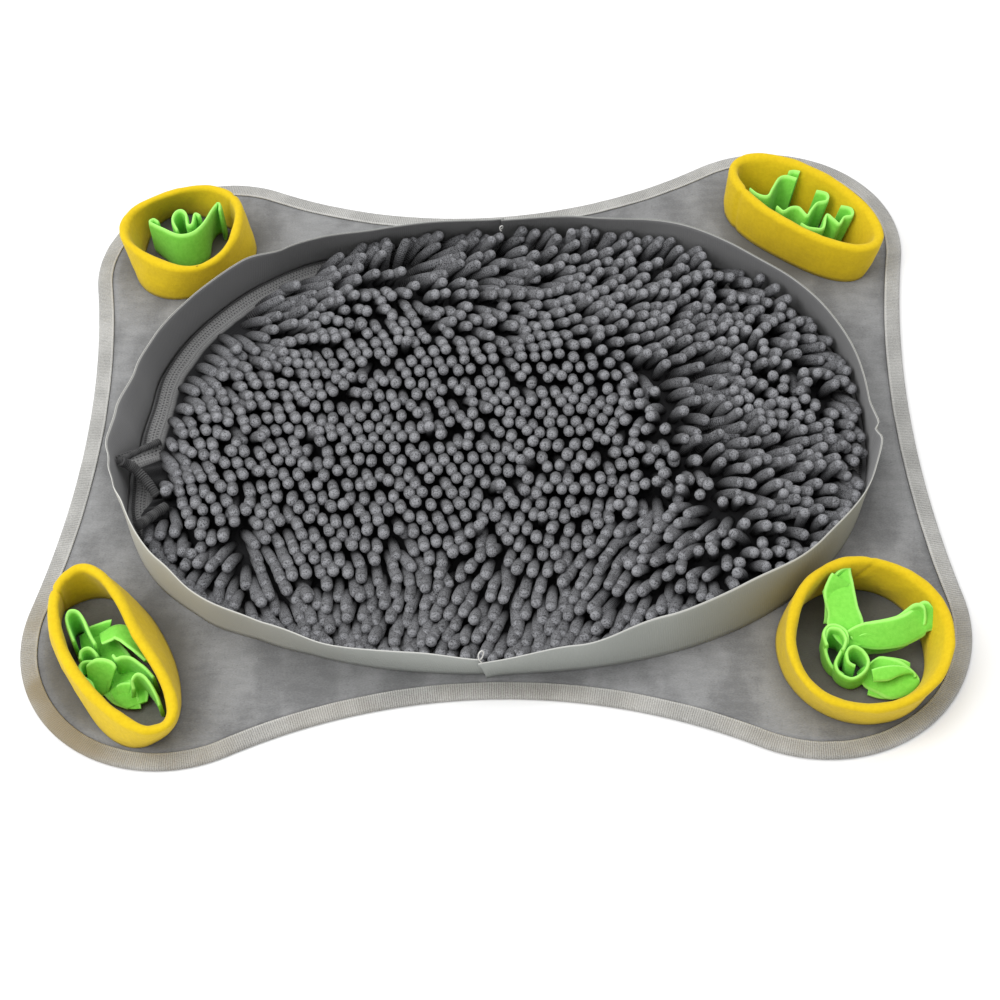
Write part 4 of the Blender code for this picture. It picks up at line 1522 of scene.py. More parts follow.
COMBS = tuple(Comb(*row) for row in (
    # back, from the left to the right
    (-158, 136, 26, 23, -3), (-183, 115, 20, 22, 6), (-122, 152, 20, 13, 17),
    (-80, 156, 18, 15, 14), (-28, 158, 18, 16, 8), (22, 160, 16, 13, 8),
    (66, 157, 16, 11, 7), (112, 148, 14, 10, 5), (-124, 138, 13, 20, 2),
    (-59, 140, 14, 20, 2), (-72, 124, 13, 17, -6), (2, 138, 16, 17, -13),
    (63, 127, 32, 12, -7), (115, 113, 32, 9, -6), (176, 104, 24, 7, -10),
    (1, 91, 20, 11, -15),
    # left
    (-200, 85, 18, 14, -19), (-208, 59, 18, 15, -17), (-188, 39, 20, 10, -15),
    (-229, 33, 16, 15, -17), (-230, -30, 14, 14, -18), (-188, -11, 30, 6, -15),
    (-157, -100, 16, 10, -19), (-178, -107, 15, -8, -19), (-216, -89, 16, 3, -22),
    (-180, -137, 16, -2, -21), (-195, -79, 20, 4, -15),
    # middle
    (-79, 107, 30, 5, -16), (-54, 21, 46, 2, -16), (-66, -49, 46, 2, -15),
    (52, 17, 32, 0, -15), (70, -53, 36, -1, -15), (101, 10, 16, -8, -15),
    # right
    (118, 73, 24, 12, -3), (165, 54, 24, 7, -6), (135, 36, 14, 22, -3),
    (130, 22, 12, 22, -5), (159, -13, 16, 12, 1), (141, -19, 12, 22, -7),
    (198, 5, 26, 1, -10), (226, 46, 16, 15, -13), (246, 2, 16, 9, -18),
    (241, -44, 18, 6, -20), (197, -41, 24, 14, -5), (180, -82, 24, 12, -6),
    (176, -107, 18, 2, -12), (148, -74, 12, 18, -11),
    # front
    (143, -86, 18, -18, -15), (110, -103, 22, -14, -17), (81, -125, 22, -9, -20),
    (125, -142, 22, -4, -16), (33, -150, 14, -2, -23), (-9, -150, 26, -4, -20),
    (-61, -144, 22, -2, -21), (-64, -114, 15, 8, -22), (-101, -139, 24, 1, -21),
    (-137, -145, 20, 8, -21), (-110, -113, 22, 4, -16),
))
HOLLOWS = tuple(Hollow(*row) for row in (
    (-35, 88, 8), (6, 43, 9), (-14, 5, 8), (-13, -25, 8), (-124, 58, 8), (-106, 6, 8),
    (-124, -35, 8), (-115, -65, 9), (-167, -108, 10), (-4, -63, 8), (-29, -105, 8),
    (109, 57, 9), (100, 20, 9), (138, 28, 10), (140, -8, 11), (156, -93, 10),
    (126, -158, 10), (-172, -138, 11), (46, 73, 7), (70, -10, 7), (-166, 66, 9),
    (182, -130, 9),
))


class Finger(NamedTuple):
    """One chenille finger."""

    path: list[Vector]  # its middle line
    radii: list[float]
    tone: float  # from 0 to 1


@dataclass
class ChenillePile:
    """Soft chenille fingers, sewn in rows and combed over."""

    line: WallLine
    ground: KnitGround  # its hem stays bare
    flap: TurnedGround  # and so does this
    finish: Material
    inset: float = 8 * MM  # from the wall to the outermost roots
    hem_inset: float = 17.5 * MM  # where the ground's hem shows
    flap_gap: float = 4 * MM  # from the turned corner to the roots
    pitch: float = 9.5 * MM
    row_pitch: float = 9.7 * MM
    margin: float = 1.1  # how far past the oval the rows go
    radius: float = 3.8 * MM
    length: float = 27.5 * MM
    lengths: Pair = (0.92, 1.05)  # least and most, as shares
    fatness: Pair = (0.94, 1.05)
    flattest: float = 0.9  # share of its length that it can reach
    lowest: float = 10.5 * MM  # a lying finger's tip above its root
    floor: float = 4.6 * MM
    jitter: float = 1.1 * MM
    stray: float = 1.3 * MM  # of tips where the pile stands even
    loose: float = 2.6 * MM  # added where it lies loose
    loose_from: tuple[Pair, Pair] = ((60.0, 130.0), (95.0, 130.0))  # in x and y, mm
    wild_share: float = 0.07  # of fingers that go their own way
    wild: float = 9 * MM
    comb_blend: float = 0.05  # small: a comb rules its surroundings
    spacing: float = 8.4 * MM
    settle_rounds: int = 14
    settle_step: float = 0.3
    wall_gap: float = 2 * MM
    bend: Pair = (0.36, 0.66)  # the knee's shares of run and rise
    profile: tuple[Pair, ...] = (  # shares of length and of radius
        (0.0, 0.82), (0.4, 0.97), (0.72, 1.0), (1.0, 1.03))
    tip_turns: Pair = (38.0, 68.0)  # degrees round the tip's dome
    dome: float = 0.22  # its last rise, as a share of the radius
    sides: int = 10
    seed: int = 7

    def _roots(self, chance: np.random.Generator) -> Array:
        """Sew the fingers in rows.

        Args:
            chance: The pile's random numbers.

        Returns:
            Where the fingers stand, two columns in metres.
        """
        rows = int(self.line.half_depth * self.margin / self.row_pitch) + 1
        columns = int(self.line.half_length * self.margin / self.pitch) + 1
        spots = np.array([((column + 0.5 * (row % 2)) * self.pitch, row * self.row_pitch)
                          for row in range(-rows, rows + 1)
                          for column in range(-columns, columns + 1)])
        spots = spots + chance.uniform(-self.jitter, self.jitter, spots.shape)
        turns = np.arctan2(spots[:, 1], spots[:, 0])
        shown = np.array([self.ground.raised(degrees(turn)) for turn in turns])
        inset = self.inset + (self.hem_inset - self.inset) * shown
        away = np.hypot(spots[:, 0], spots[:, 1])
        kept = away < self.line.distances(turns, np.zeros(len(turns))) - inset
        spots = spots + np.array(self.line.centre)
        across = np.array([(at.x, at.y) for at in self.flap.rows]) * MM
        beside = np.interp(-spots[:, 1], -across[:, 1], across[:, 0])
        within = (spots[:, 1] < across[0, 1]) & (spots[:, 1] > across[-1, 1])
        kept &= ~(within & (spots[:, 0] < beside - self.flap_gap))
        return spots[kept]

    def _pushes(self, roots: Array) -> tuple[Array, Array]:
        """Read the combs and hollows.

        Args:
            roots: The fingers' roots.

        Returns:
            Sideways push of each tip, and how much shorter it is.
        """
        total = np.full(len(roots), 1e-6)
        push = np.zeros_like(roots)
        for comb in COMBS:
            away = np.linalg.norm(roots / MM - (comb.x, comb.y), axis=1) / comb.reach
            weight = 1.0 / (self.comb_blend + away ** 4)
            push += weight[:, None] * np.array((comb.push_x, comb.push_y)) * MM
            total += weight
        push /= total[:, None]
        drop = np.zeros(len(roots))
        for hollow in HOLLOWS:
            aside = (roots + push * 0.8) / MM - (hollow.x, hollow.y)
            away = np.linalg.norm(aside, axis=1)
            weight = np.exp(-(away / hollow.reach) ** 2)
            push += (aside / np.maximum(away, 1e-3)[:, None]
                     * (weight * hollow.part * MM)[:, None])
            drop += weight * hollow.drop * MM
        return push, drop

    def _settle(self, tips: Array, heights: Array) -> Array:
        """Push crowded tips apart and keep them clear of the wall.

        Args:
            tips: The tips' places.
            heights: Their heights.

        Returns:
            The settled places.
        """
        for _ in range(self.settle_rounds):
            gaps = tips[:, None, :] - tips[None, :, :]
            rises = heights[:, None] - heights[None, :]
            away = np.sqrt((gaps ** 2).sum(axis=2) + rises ** 2)
            np.fill_diagonal(away, 1.0)
            short = np.maximum(self.spacing - away, 0.0)
            pushes = gaps * (short / away)[:, :, None]
            tips = tips + self.settle_step * pushes.sum(axis=1)
        centre = np.array(self.line.centre)
        aside = tips - centre
        away = np.hypot(aside[:, 0], aside[:, 1])
        limit = self.line.distances(np.arctan2(aside[:, 1], aside[:, 0]),
                                    np.clip(heights / WALL_HEIGHT, 0.0, 1.0))
        limit -= self.radius + self.wall_gap
        return centre + aside * np.minimum(1.0, limit / away)[:, None]

    def _finger(self, root: Array, tip: Array, height: float,
                fat: float, tone: float) -> Finger:
        """Shape one finger.

        Args:
            root: Where it is sewn.
            tip: Where its end lies.
            height: Height of the end's middle.
            fat: Factor on its thickness.
            tone: Its tone, from 0 to 1.

        Returns:
            The finger.
        """
        run_share, rise_share = self.bend
        start, end = Vector((*root, self.floor)), Vector((*tip, height))
        knee = Vector((*(root + (tip - root) * run_share),
                       self.floor + (height - self.floor) * rise_share))
        radius = self.radius * fat
        path, radii = [], []
        for share, wide in self.profile:
            path.append(start.lerp(knee, share).lerp(knee.lerp(end, share), share))
            radii.append(radius * wide)
        run = (end - knee).normalized()
        for turn in self.tip_turns:
            path.append(end + run * (radius * sin(radians(turn))))
            radii.append(radius * self.profile[-1][1] * cos(radians(turn)))
        return Finger(path, radii, tone)

    def _mesh(self, name: str, fingers: Sequence[Finger]) -> bpy.types.Object:
        """Join fingers into one piece.

        Args:
            name: The piece's name.
            fingers: The fingers.

        Returns:
            The piece.
        """
        points, faces, marks = [], [], []
        sides = self.sides
        for finger in fingers:
            base, rings, tone = len(points), len(finger.path), finger.tone
            rows = tube_rows(finger.path, finger.radii, sides)
            points.extend(map(tuple, rows.reshape(-1, 3)))
            run = (finger.path[-1] - finger.path[-2]).normalized()
            points.append(tuple(finger.path[-1] + run * (finger.radii[-1] * self.dome)))
            for i in range(rings - 1):
                ring, low, high = base + i * sides, i / rings, (i + 1) / rings
                for j in range(sides):
                    beside = (j + 1) % sides
                    faces.append((ring + j, ring + beside, ring + sides + beside,
                                  ring + sides + j))
                    marks += [(tone, low), (tone, low), (tone, high), (tone, high)]
            last = base + (rings - 1) * sides
            for j in range(sides):
                faces.append((last + j, last + (j + 1) % sides, last + sides))
                marks += [(tone, 1.0)] * 3
            faces.append(tuple(base + j for j in reversed(range(sides))))
            marks += [(tone, 0.0)] * sides
        return new_piece(name, np.array(points), faces, marks)

    def dress(self) -> None:
        """Build the pile in two pieces that stand for the pad's node."""
        chance = np.random.default_rng(self.seed)
        roots = self._roots(chance)
        push, drop = self._pushes(roots)
        right, back = (np.clip((roots[:, axis] / MM - start) / (end - start), 0.0, 1.0)
                       for axis, (start, end) in enumerate(self.loose_from))
        astray = self.stray + self.loose * np.maximum(right, back)
        push = push + chance.normal(0.0, 1.0, roots.shape) * astray[:, None]
        wild = chance.uniform(0.0, 1.0, len(roots)) < self.wild_share
        push += wild[:, None] * chance.uniform(-self.wild, self.wild, roots.shape)
        reach = np.linalg.norm(push, axis=1)
        lengths = self.length * chance.uniform(*self.lengths, len(roots)) - drop
        longest = lengths * self.flattest
        push *= np.minimum(1.0, longest / np.maximum(reach, 1e-6))[:, None]
        reach = np.minimum(reach, longest)
        rises = np.maximum(np.sqrt(lengths ** 2 - reach ** 2) - self.radius,
                           self.lowest - drop * 0.5)
        heights = self.floor + rises
        tips = self._settle(roots + push, heights)
        fats = chance.uniform(*self.fatness, len(roots))
        tones = chance.uniform(0.0, 1.0, len(roots))
        fingers = [self._finger(root, tip, float(height), float(fat), float(tone))
                   for root, tip, height, fat, tone
                   in zip(roots, tips, heights, fats, tones)]
        middle = self.line.centre[0]
        for name, left in (("pile_left", True), ("pile_right", False)):
            chosen = [finger for finger in fingers
                      if (finger.path[0].x < middle) == left]
            dress(self._mesh(name, chosen), self.finish, "chenille", "chenille_pad")
        LOG.info("pile: %d fingers", len(fingers))


# ---- fleece ----
class Oval(NamedTuple):
    """A squared oval, bent out and in three times on its way round."""

    x: float
    y: float
    half_length: float
    half_width: float
    heading: float  # degrees
    wave: float  # millimetres
    wave_turn: float  # degrees

    def point(self, squareness: float, bearing: float) -> Vector:
        """Walk round the oval.

        Args:
            squareness: 2 for an ellipse, more for a squarer one.
            bearing: A bearing of the oval's own, in radians.

        Returns:
            The point there, in metres.
        """
        turn = radians(self.heading)
        spot = squared_oval(bearing, self.half_length, self.half_width, squareness)
        spot += spot.normalized() * (
            self.wave * sin(3 * bearing + radians(self.wave_turn)))
        return Vector((self.x + spot.x * cos(turn) - spot.y * sin(turn),
                       self.y + spot.x * sin(turn) + spot.y * cos(turn))) * MM


class RingShape(NamedTuple):
    """The middle lines of one doubled fleece band at its foot and its rim."""

    node: str
    squareness: float
    foot: Oval
    rim: Oval
    seam: float  # bearing of the seam, degrees

    def at(self, bearing: float) -> list[Vector]:
        """Return the middle points of foot and rim at a bearing in radians."""
        return [oval.point(self.squareness, bearing) for oval in (self.foot, self.rim)]

    def below(self, spot: Vector) -> Vector:
        """Follow the band's lean down.

        Args:
            spot: A place within the rim, in metres.

        Returns:
            The place within the foot that answers to it.
        """
        rim, foot = self.rim, self.foot
        aside = spot - Vector((rim.x, rim.y)) * MM
        aside.rotate(Matrix.Rotation(-radians(rim.heading), 2))
        aside.x *= foot.half_length / rim.half_length
        aside.y *= foot.half_width / rim.half_width
        aside.rotate(Matrix.Rotation(radians(foot.heading), 2))
        return aside + Vector((foot.x, foot.y)) * MM


@dataclass
class FleeceRing:
    """A doubled fleece band, folded at its rim and sewn down at its foot."""

    shape: RingShape
    finish: Material
    height: float = 34 * MM
    thickness: float = 7.2 * MM
    layer: float = 2.4 * MM
    turned_in: float = 2 * MM  # width of the band that is sewn under
    belly: float = 0.5 * MM
    foot_share: float = 0.86  # of the thickness, at the foot
    height_wave: float = 1.2 * MM
    slack: float = 0.8 * MM
    slack_size: float = 17 * MM
    fine_slack: float = 0.35  # share of the slack, in finer waves
    fine_size: float = 6 * MM
    held_share: float = 0.15  # of the slack, at the sewn foot
    slack_from: float = 8 * MM  # height where it is fully slack
    seam_depth: float = 1.0 * MM
    seam_half: float = 2.0  # degrees
    nudge: float = 0.02  # radians either way, to find its run
    stations: int = 168
    crown_steps: int = 9
    side_steps: int = 9

    def _outline(self, height: float) -> list[Pair]:
        """Return the section from the outer foot over the crown, and back inside.

        Args:
            height: Height of the band here.

        Returns:
            Points as distance outwards and height above the foot.
        """
        half = self.thickness / 2
        hollow = half - self.layer
        shoulder = height - half
        points = []
        for step in range(self.side_steps):
            share = step / self.side_steps
            widened = self.foot_share + (1.0 - self.foot_share) * min(1.0, 3 * share)
            points.append((half * widened + self.belly * sin(pi * share),
                           shoulder * share))
        for step in range(self.crown_steps + 1):
            turn = pi * step / self.crown_steps
            points.append((half * cos(turn), shoulder + half * sin(turn)))
        points += [(-side, up) for side, up in reversed(points[:self.side_steps])]
        low = height - self.layer - hollow
        inside = [(hollow, low), (hollow, low * 0.5), (hollow, 0.0)]
        return (points + [(-side, up) for side, up in reversed(inside)]
                + [(0.0, low + hollow)] + inside)

    def _row(self, bearing: float, shown: int) -> Rows:
        """Return one section of the band.

        Args:
            bearing: Where it stands, in radians.
            shown: Number of its points that lie on the outer faces.

        Returns:
            The section's points.
        """
        foot, rim = self.shape.at(bearing)
        before, after = (self.shape.at(bearing + side)[0]
                         for side in (-self.nudge, self.nudge))
        run = after - before
        outward = Vector((run.y, -run.x)).normalized()
        low = self.shape.foot
        height = self.height + self.height_wave * sin(2 * bearing + low.y)
        away = (degrees(bearing) - self.shape.seam + 180.0) % 360.0 - 180.0
        seam = self.seam_depth * exp(-(away / self.seam_half) ** 2)
        row = []
        for index, (aside, up) in enumerate(self._outline(height)):
            spot = foot + (rim - foot) * (up / height)
            face = (*(spot + outward * aside), SEAM_HEIGHT + up)
            if index < shown:
                soft = self.slack * ripple(face, self.slack_size, low.x)
                soft += self.fine_slack * self.slack * ripple(face, self.fine_size, low.y)
                soft *= min(1.0, up / self.slack_from + self.held_share)
                soft -= seam * min(1.0, abs(aside) / self.layer)
                spot = spot + outward * (soft * copysign(1.0, aside))
            row.append((*(spot + outward * aside), SEAM_HEIGHT + up))
        return row

    def dress(self) -> None:
        """Build the band in its node's place."""
        shown = 2 * self.side_steps + self.crown_steps + 1
        bearings = [tau * station / self.stations
                    for station in range(self.stations)]
        feet = np.array([tuple(self.shape.at(bearing)[0]) for bearing in bearings])
        along = running_lengths(feet, closed=True)
        section = np.array(self._outline(self.height))
        lengths = running_lengths(section, closed=True)
        across = np.full(len(section) + 1, 0.5)
        across[:shown] = 0.08 + 0.84 * lengths[:shown] / lengths[shown - 1]
        rows = np.array([self._row(bearing, shown) for bearing in bearings])
        piece = Skin(self.shape.node.replace("ring", "fleece_band"), rows, along, across,
                     ring=True).build()
        dress(piece, self.finish, "yellow_fleece", self.shape.node)


class Fold(NamedTuple):
    """A place along a strip on its edge, in millimetres."""

    x: float
    y: float
    high: float  # height of its upper edge
    low: float = 3.8  # and of its lower one, on the base
    lean: float = 0.0  # how far the upper edge lies to its left


SECTION_SHARES = (0.0, 0.12, 0.3, 0.5, 0.7, 0.88, 1.0)  # across a strip


@dataclass
class FleeceCut:
    """A strip of fleece between two long edges."""

    _: KW_ONLY
    thickness: float = 2.6 * MM
    rim_share: float = 0.55  # of the thickness, at a cut edge
    rim_width: float = 2.2 * MM
    tip: float = 0.35  # how far an edge is rounded, in half thicknesses
    heel: float = 0.1
    steps: int = 9
    wander: float = 0.4 * MM
    wander_size: float = 12 * MM
    edge_wander: float = 0.8 * MM
    edge_size: float = 9 * MM

    def _section(self, low: Vector, high: Vector, run: Vector, seed: float) -> Rows:
        """Return the strip's section, up one face and down the other.

        Args:
            low: Middle of the lower edge.
            high: Middle of the upper edge.
            run: Direction along the strip.
            seed: Shifts the waviness.

        Returns:
            The section's points.
        """
        up = (high - low).normalized()
        normal = run.cross(up).normalized()
        half = self.thickness / 2
        sway = self.wander * ripple(high, self.wander_size, seed)
        high = high + up * (self.edge_wander * ripple(high, self.edge_size, seed + 4.0))
        width = (high - low).length
        front, back = [], []
        for share in SECTION_SHARES:
            near = min(share, 1.0 - share) * width
            plump = half * min(1.0, self.rim_share + near / self.rim_width)
            middle = low.lerp(high, share) + normal * (sway * sin(pi * share))
            front.append(tuple(middle + normal * plump))
            back.append(tuple(middle - normal * plump))
        tip, heel = high + up * (half * self.tip), low - up * (half * self.heel)
        return front + [tuple(tip)] + list(reversed(back)) + [tuple(heel)]

    def lay(self, name: str, edges: Sequence[tuple[Vector, Vector]],
            finish: Material, *nodes: str) -> None:
        """Skin the strip over its two edges.

        Args:
            name: The piece's name.
            edges: The lower and the upper edge at each station.
            finish: The strip's material.
            nodes: The nodes that it stands for.
        """
        middles = np.array([tuple((low + high) / 2) for low, high in edges])
        rows = [self._section(low, high, run_at(middles, i).normalized(),
                              float(len(name)))
                for i, (low, high) in enumerate(edges)]
        along = running_lengths(middles, closed=False)
        across = (*SECTION_SHARES, 1.0, *reversed(SECTION_SHARES), 0.0, 0.0)
        piece = Skin(name, np.array(rows), along, np.array(across)).build()
        dress(piece, finish, "green_fleece", *nodes)


@dataclass
class FleeceStrip(FleeceCut):
    """A strip that stands folded on its edge inside a ring."""

    node: str
    rows: tuple[tuple[float, ...], ...]  # each a Fold
    ring: RingShape | None = None  # the ring whose lean the strip shares

    def dress(self, finish: Material) -> None:
        """Build the strip in its node's place.

        Args:
            finish: The strip's material.
        """
        stations = smooth_rows([Fold(*row) for row in self.rows], self.steps)
        places = np.array([station[:2] for station in stations])
        edges = []
        for i, (x, y, high, low, lean) in enumerate(stations):
            flat = run_at(places, i).normalized()
            aside = Vector((-flat.y, flat.x)) * (lean / 2)
            below = Vector((x, y)) - aside
            if self.ring:
                below = self.ring.below(below)
            above = Vector((x + aside.x, y + aside.y, high))
            edges.append((Vector((*below, low)), above))
        self.lay("cut_" + self.node, edges, finish, self.node)


@dataclass
class LooseFold(FleeceCut):
    """A part of a strip that lies over the standing ones."""

    name: str
    rows: tuple[tuple[float, ...], ...]  # each an Edges, or x, y, low, high if upright

    def dress(self, finish: Material) -> None:
        """Build the fold, which rides with the mat."""
        rows = [row if row[4:] else (*row[:3], *row[:2], row[3]) for row in self.rows]
        self.lay(self.name, edge_stations(rows, self.steps), finish)


RINGS = (
    RingShape("ring_front_left", 2.5,
              foot=Oval(-240, -190.5, 60, 29, -60, 2, 143),
              rim=Oval(-238, -199, 66.5, 21.5, -58.5, 3.9, 13), seam=205),
    RingShape("ring_front_right", 2.1,
              foot=Oval(223.5, -192, 45.5, 49.5, 6, 0.6, -62),
              rim=Oval(227.5, -199.5, 48, 54, -19.5, 0.7, 76), seam=100),
    RingShape("ring_back_left", 1.9,
              foot=Oval(-227.5, 171.5, 42, 44, 13.5, 3.5, 136),
              rim=Oval(-228, 167.5, 42.5, 41.5, 18, 2.9, -24), seam=25),
    RingShape("ring_back_right", 2.05,
              foot=Oval(224, 174, 58.5, 24.5, -43, 1.6, 138),
              rim=Oval(229.5, 178.5, 64, 28.5, -44.5, 0, 0), seam=232),
)
STRIPS = (
    FleeceStrip("fleece_front_right_up", (
        (215, -183, 12, 4.8, 16), (216.5, -178, 14, 9, 25), (215, -170, 21, 15, 21),
        (213.5, -164.5, 28, 22, 18), (214, -160.5, 33, 28, 15),
        (215.5, -157.5, 35.5, 31, 12))),
    FleeceStrip("fleece_front_right_side", (
        (221, -197, 22, 4.2, 9), (229, -190.5, 22.5, 6, 12), (239, -189, 23, 6, 13),
        (249, -188, 27, 8, 12), (256, -185, 32, 11, 11), (260.5, -182, 35, 14, 7),
        (263.3, -184.5, 31, 14, 2), (263.8, -188, 26, 13))),
    FleeceStrip("fleece_front_right_low", (
        (228, -220, 6, 4.4, 9), (236, -222, 7, 4.4, 11), (246, -221.5, 7.5, 4.4, 11),
        (253, -217.5, 8, 4.4, 9))),
    FleeceStrip("fleece_front_right_top", (
        (231, -209, 12, 9, 10), (238, -211, 14, 9.5, 15), (247, -212, 14, 10, 15),
        (253, -213, 13, 10.5, 11))),
    FleeceStrip("fleece_front_right_knot", (
        (212, -204, 25), (214.5, -197, 26), (211.5, -190.5, 26.5), (205.5, -189, 26),
        (202.5, -194, 24), (202.5, -202, 19), (206, -209, 14), (213, -213, 10))),
    FleeceStrip("fleece_front_left_channel", (
        (-250, -188.5, 24), (-254.4, -181.4, 26), (-259, -172, 28), (-263, -167, 29),
        (-267.5, -167, 30), (-269.5, -171, 29), (-268, -177, 28), (-263.5, -187, 26))),
    FleeceStrip("fleece_front_left_loop", (
        (-259, -197.5, 22), (-258.5, -193.5, 24), (-255.5, -191.5, 25),
        (-252.2, -192, 25), (-249.5, -194.3, 24), (-248, -196.3, 22))),
    FleeceStrip("fleece_front_left_arch", (
        (-254, -206, 23, 4.1, 6), (-251, -206.5, 25, 4.2, 10),
        (-246.5, -207, 26, 4.4, 13), (-241.5, -207.5, 26, 4.4, 13),
        (-239, -209.5, 22, 4.4, 11))),
    FleeceStrip("fleece_front_left_low", (
        (-235.5, -216, 11, 4.2, 9), (-232, -215.5, 13, 4.3, 11),
        (-228, -216.5, 14, 4.3, 11))),
    FleeceStrip("fleece_front_left_wave", (
        (-248, -182, 22, 17, -11), (-243.5, -180.5, 24, 18, -13),
        (-237.5, -179, 26, 20, -14), (-231.3, -182.3, 26, 20, -12.8),
        (-225.5, -189.2, 26, 19, -8.5), (-221.3, -194.5, 25, 18, -5),
        (-216.8, -199, 22, 17, -3))),
    FleeceStrip("fleece_front_left_inner", (
        (-238, -196.5, 24), (-235, -200.5, 26), (-231.4, -200, 27),
        (-226.7, -200.5, 27), (-221.5, -203.5, 27), (-216, -208, 26), (-211, -213, 24))),
    FleeceStrip("fleece_front_left_hook", (
        (-224.5, -219, 20, 3.8, -3), (-224.5, -215.5, 25, 3.8, -2), (-221, -212.7, 27),
        (-216.5, -214, 27), (-212, -219, 26), (-208, -225.5, 22), (-206.5, -229.5, 18))),
    FleeceStrip("fleece_back_left_cup", (
        (-248.5, 175.5, 33), (-252, 177.5, 34), (-254.5, 174.5, 34),
        (-250.5, 171, 34, 3.8, 1), (-241, 163, 34, 3.8, 4), (-234.5, 158.5, 34, 3.8, 5),
        (-228, 157.8, 34, 3.8, 5), (-221.5, 160, 34, 3.8, 5), (-216, 165.5, 35, 3.8, 3),
        (-213.5, 172.5, 36, 3.8, -1), (-211.5, 182, 37, 3.8, -5),
        (-207.5, 190, 37, 3.8, -5), (-203.5, 189.5, 37, 3.8, -1), (-203.5, 184, 36))),
    FleeceStrip("fleece_back_left_loop", (
        (-233.5, 166.5, 33), (-237.5, 174.8, 35), (-236, 182, 36), (-232, 184.3, 36),
        (-228, 180, 36), (-226.5, 172, 34), (-223, 171.5, 34), (-221.5, 180.5, 36),
        (-217.5, 178.5, 36))),
    FleeceStrip("fleece_back_right_first", (
        (190.5, 196, 32), (196.5, 189.5, 32), (203.3, 188.3, 32), (207.3, 195, 33),
        (212.6, 204, 34), (218, 206.5, 34), (226, 203.5, 34)), RINGS[3]),
    FleeceStrip("fleece_back_right_back", (
        (220.5, 209, 36), (224.5, 210, 36), (228.5, 208.5, 36)), RINGS[3]),
    FleeceStrip("fleece_back_right_second", (
        (209, 178, 31), (213, 173, 31), (219, 176, 31), (225, 175.5, 31),
        (230, 168.5, 30), (233.5, 173, 31), (239, 179.5, 32), (246, 181, 33),
        (246.5, 187, 34), (239, 190.5, 34)), RINGS[3]),
    FleeceStrip("fleece_back_right_third", (
        (225, 160.5, 30), (229, 156.5, 30), (235.5, 154.5, 30), (241, 156, 30),
        (244.2, 167, 32), (248.5, 163, 31), (252.8, 159, 30), (257, 165, 31),
        (263, 166, 32), (262.5, 171.5, 33), (255, 174, 33)), RINGS[3]),
)

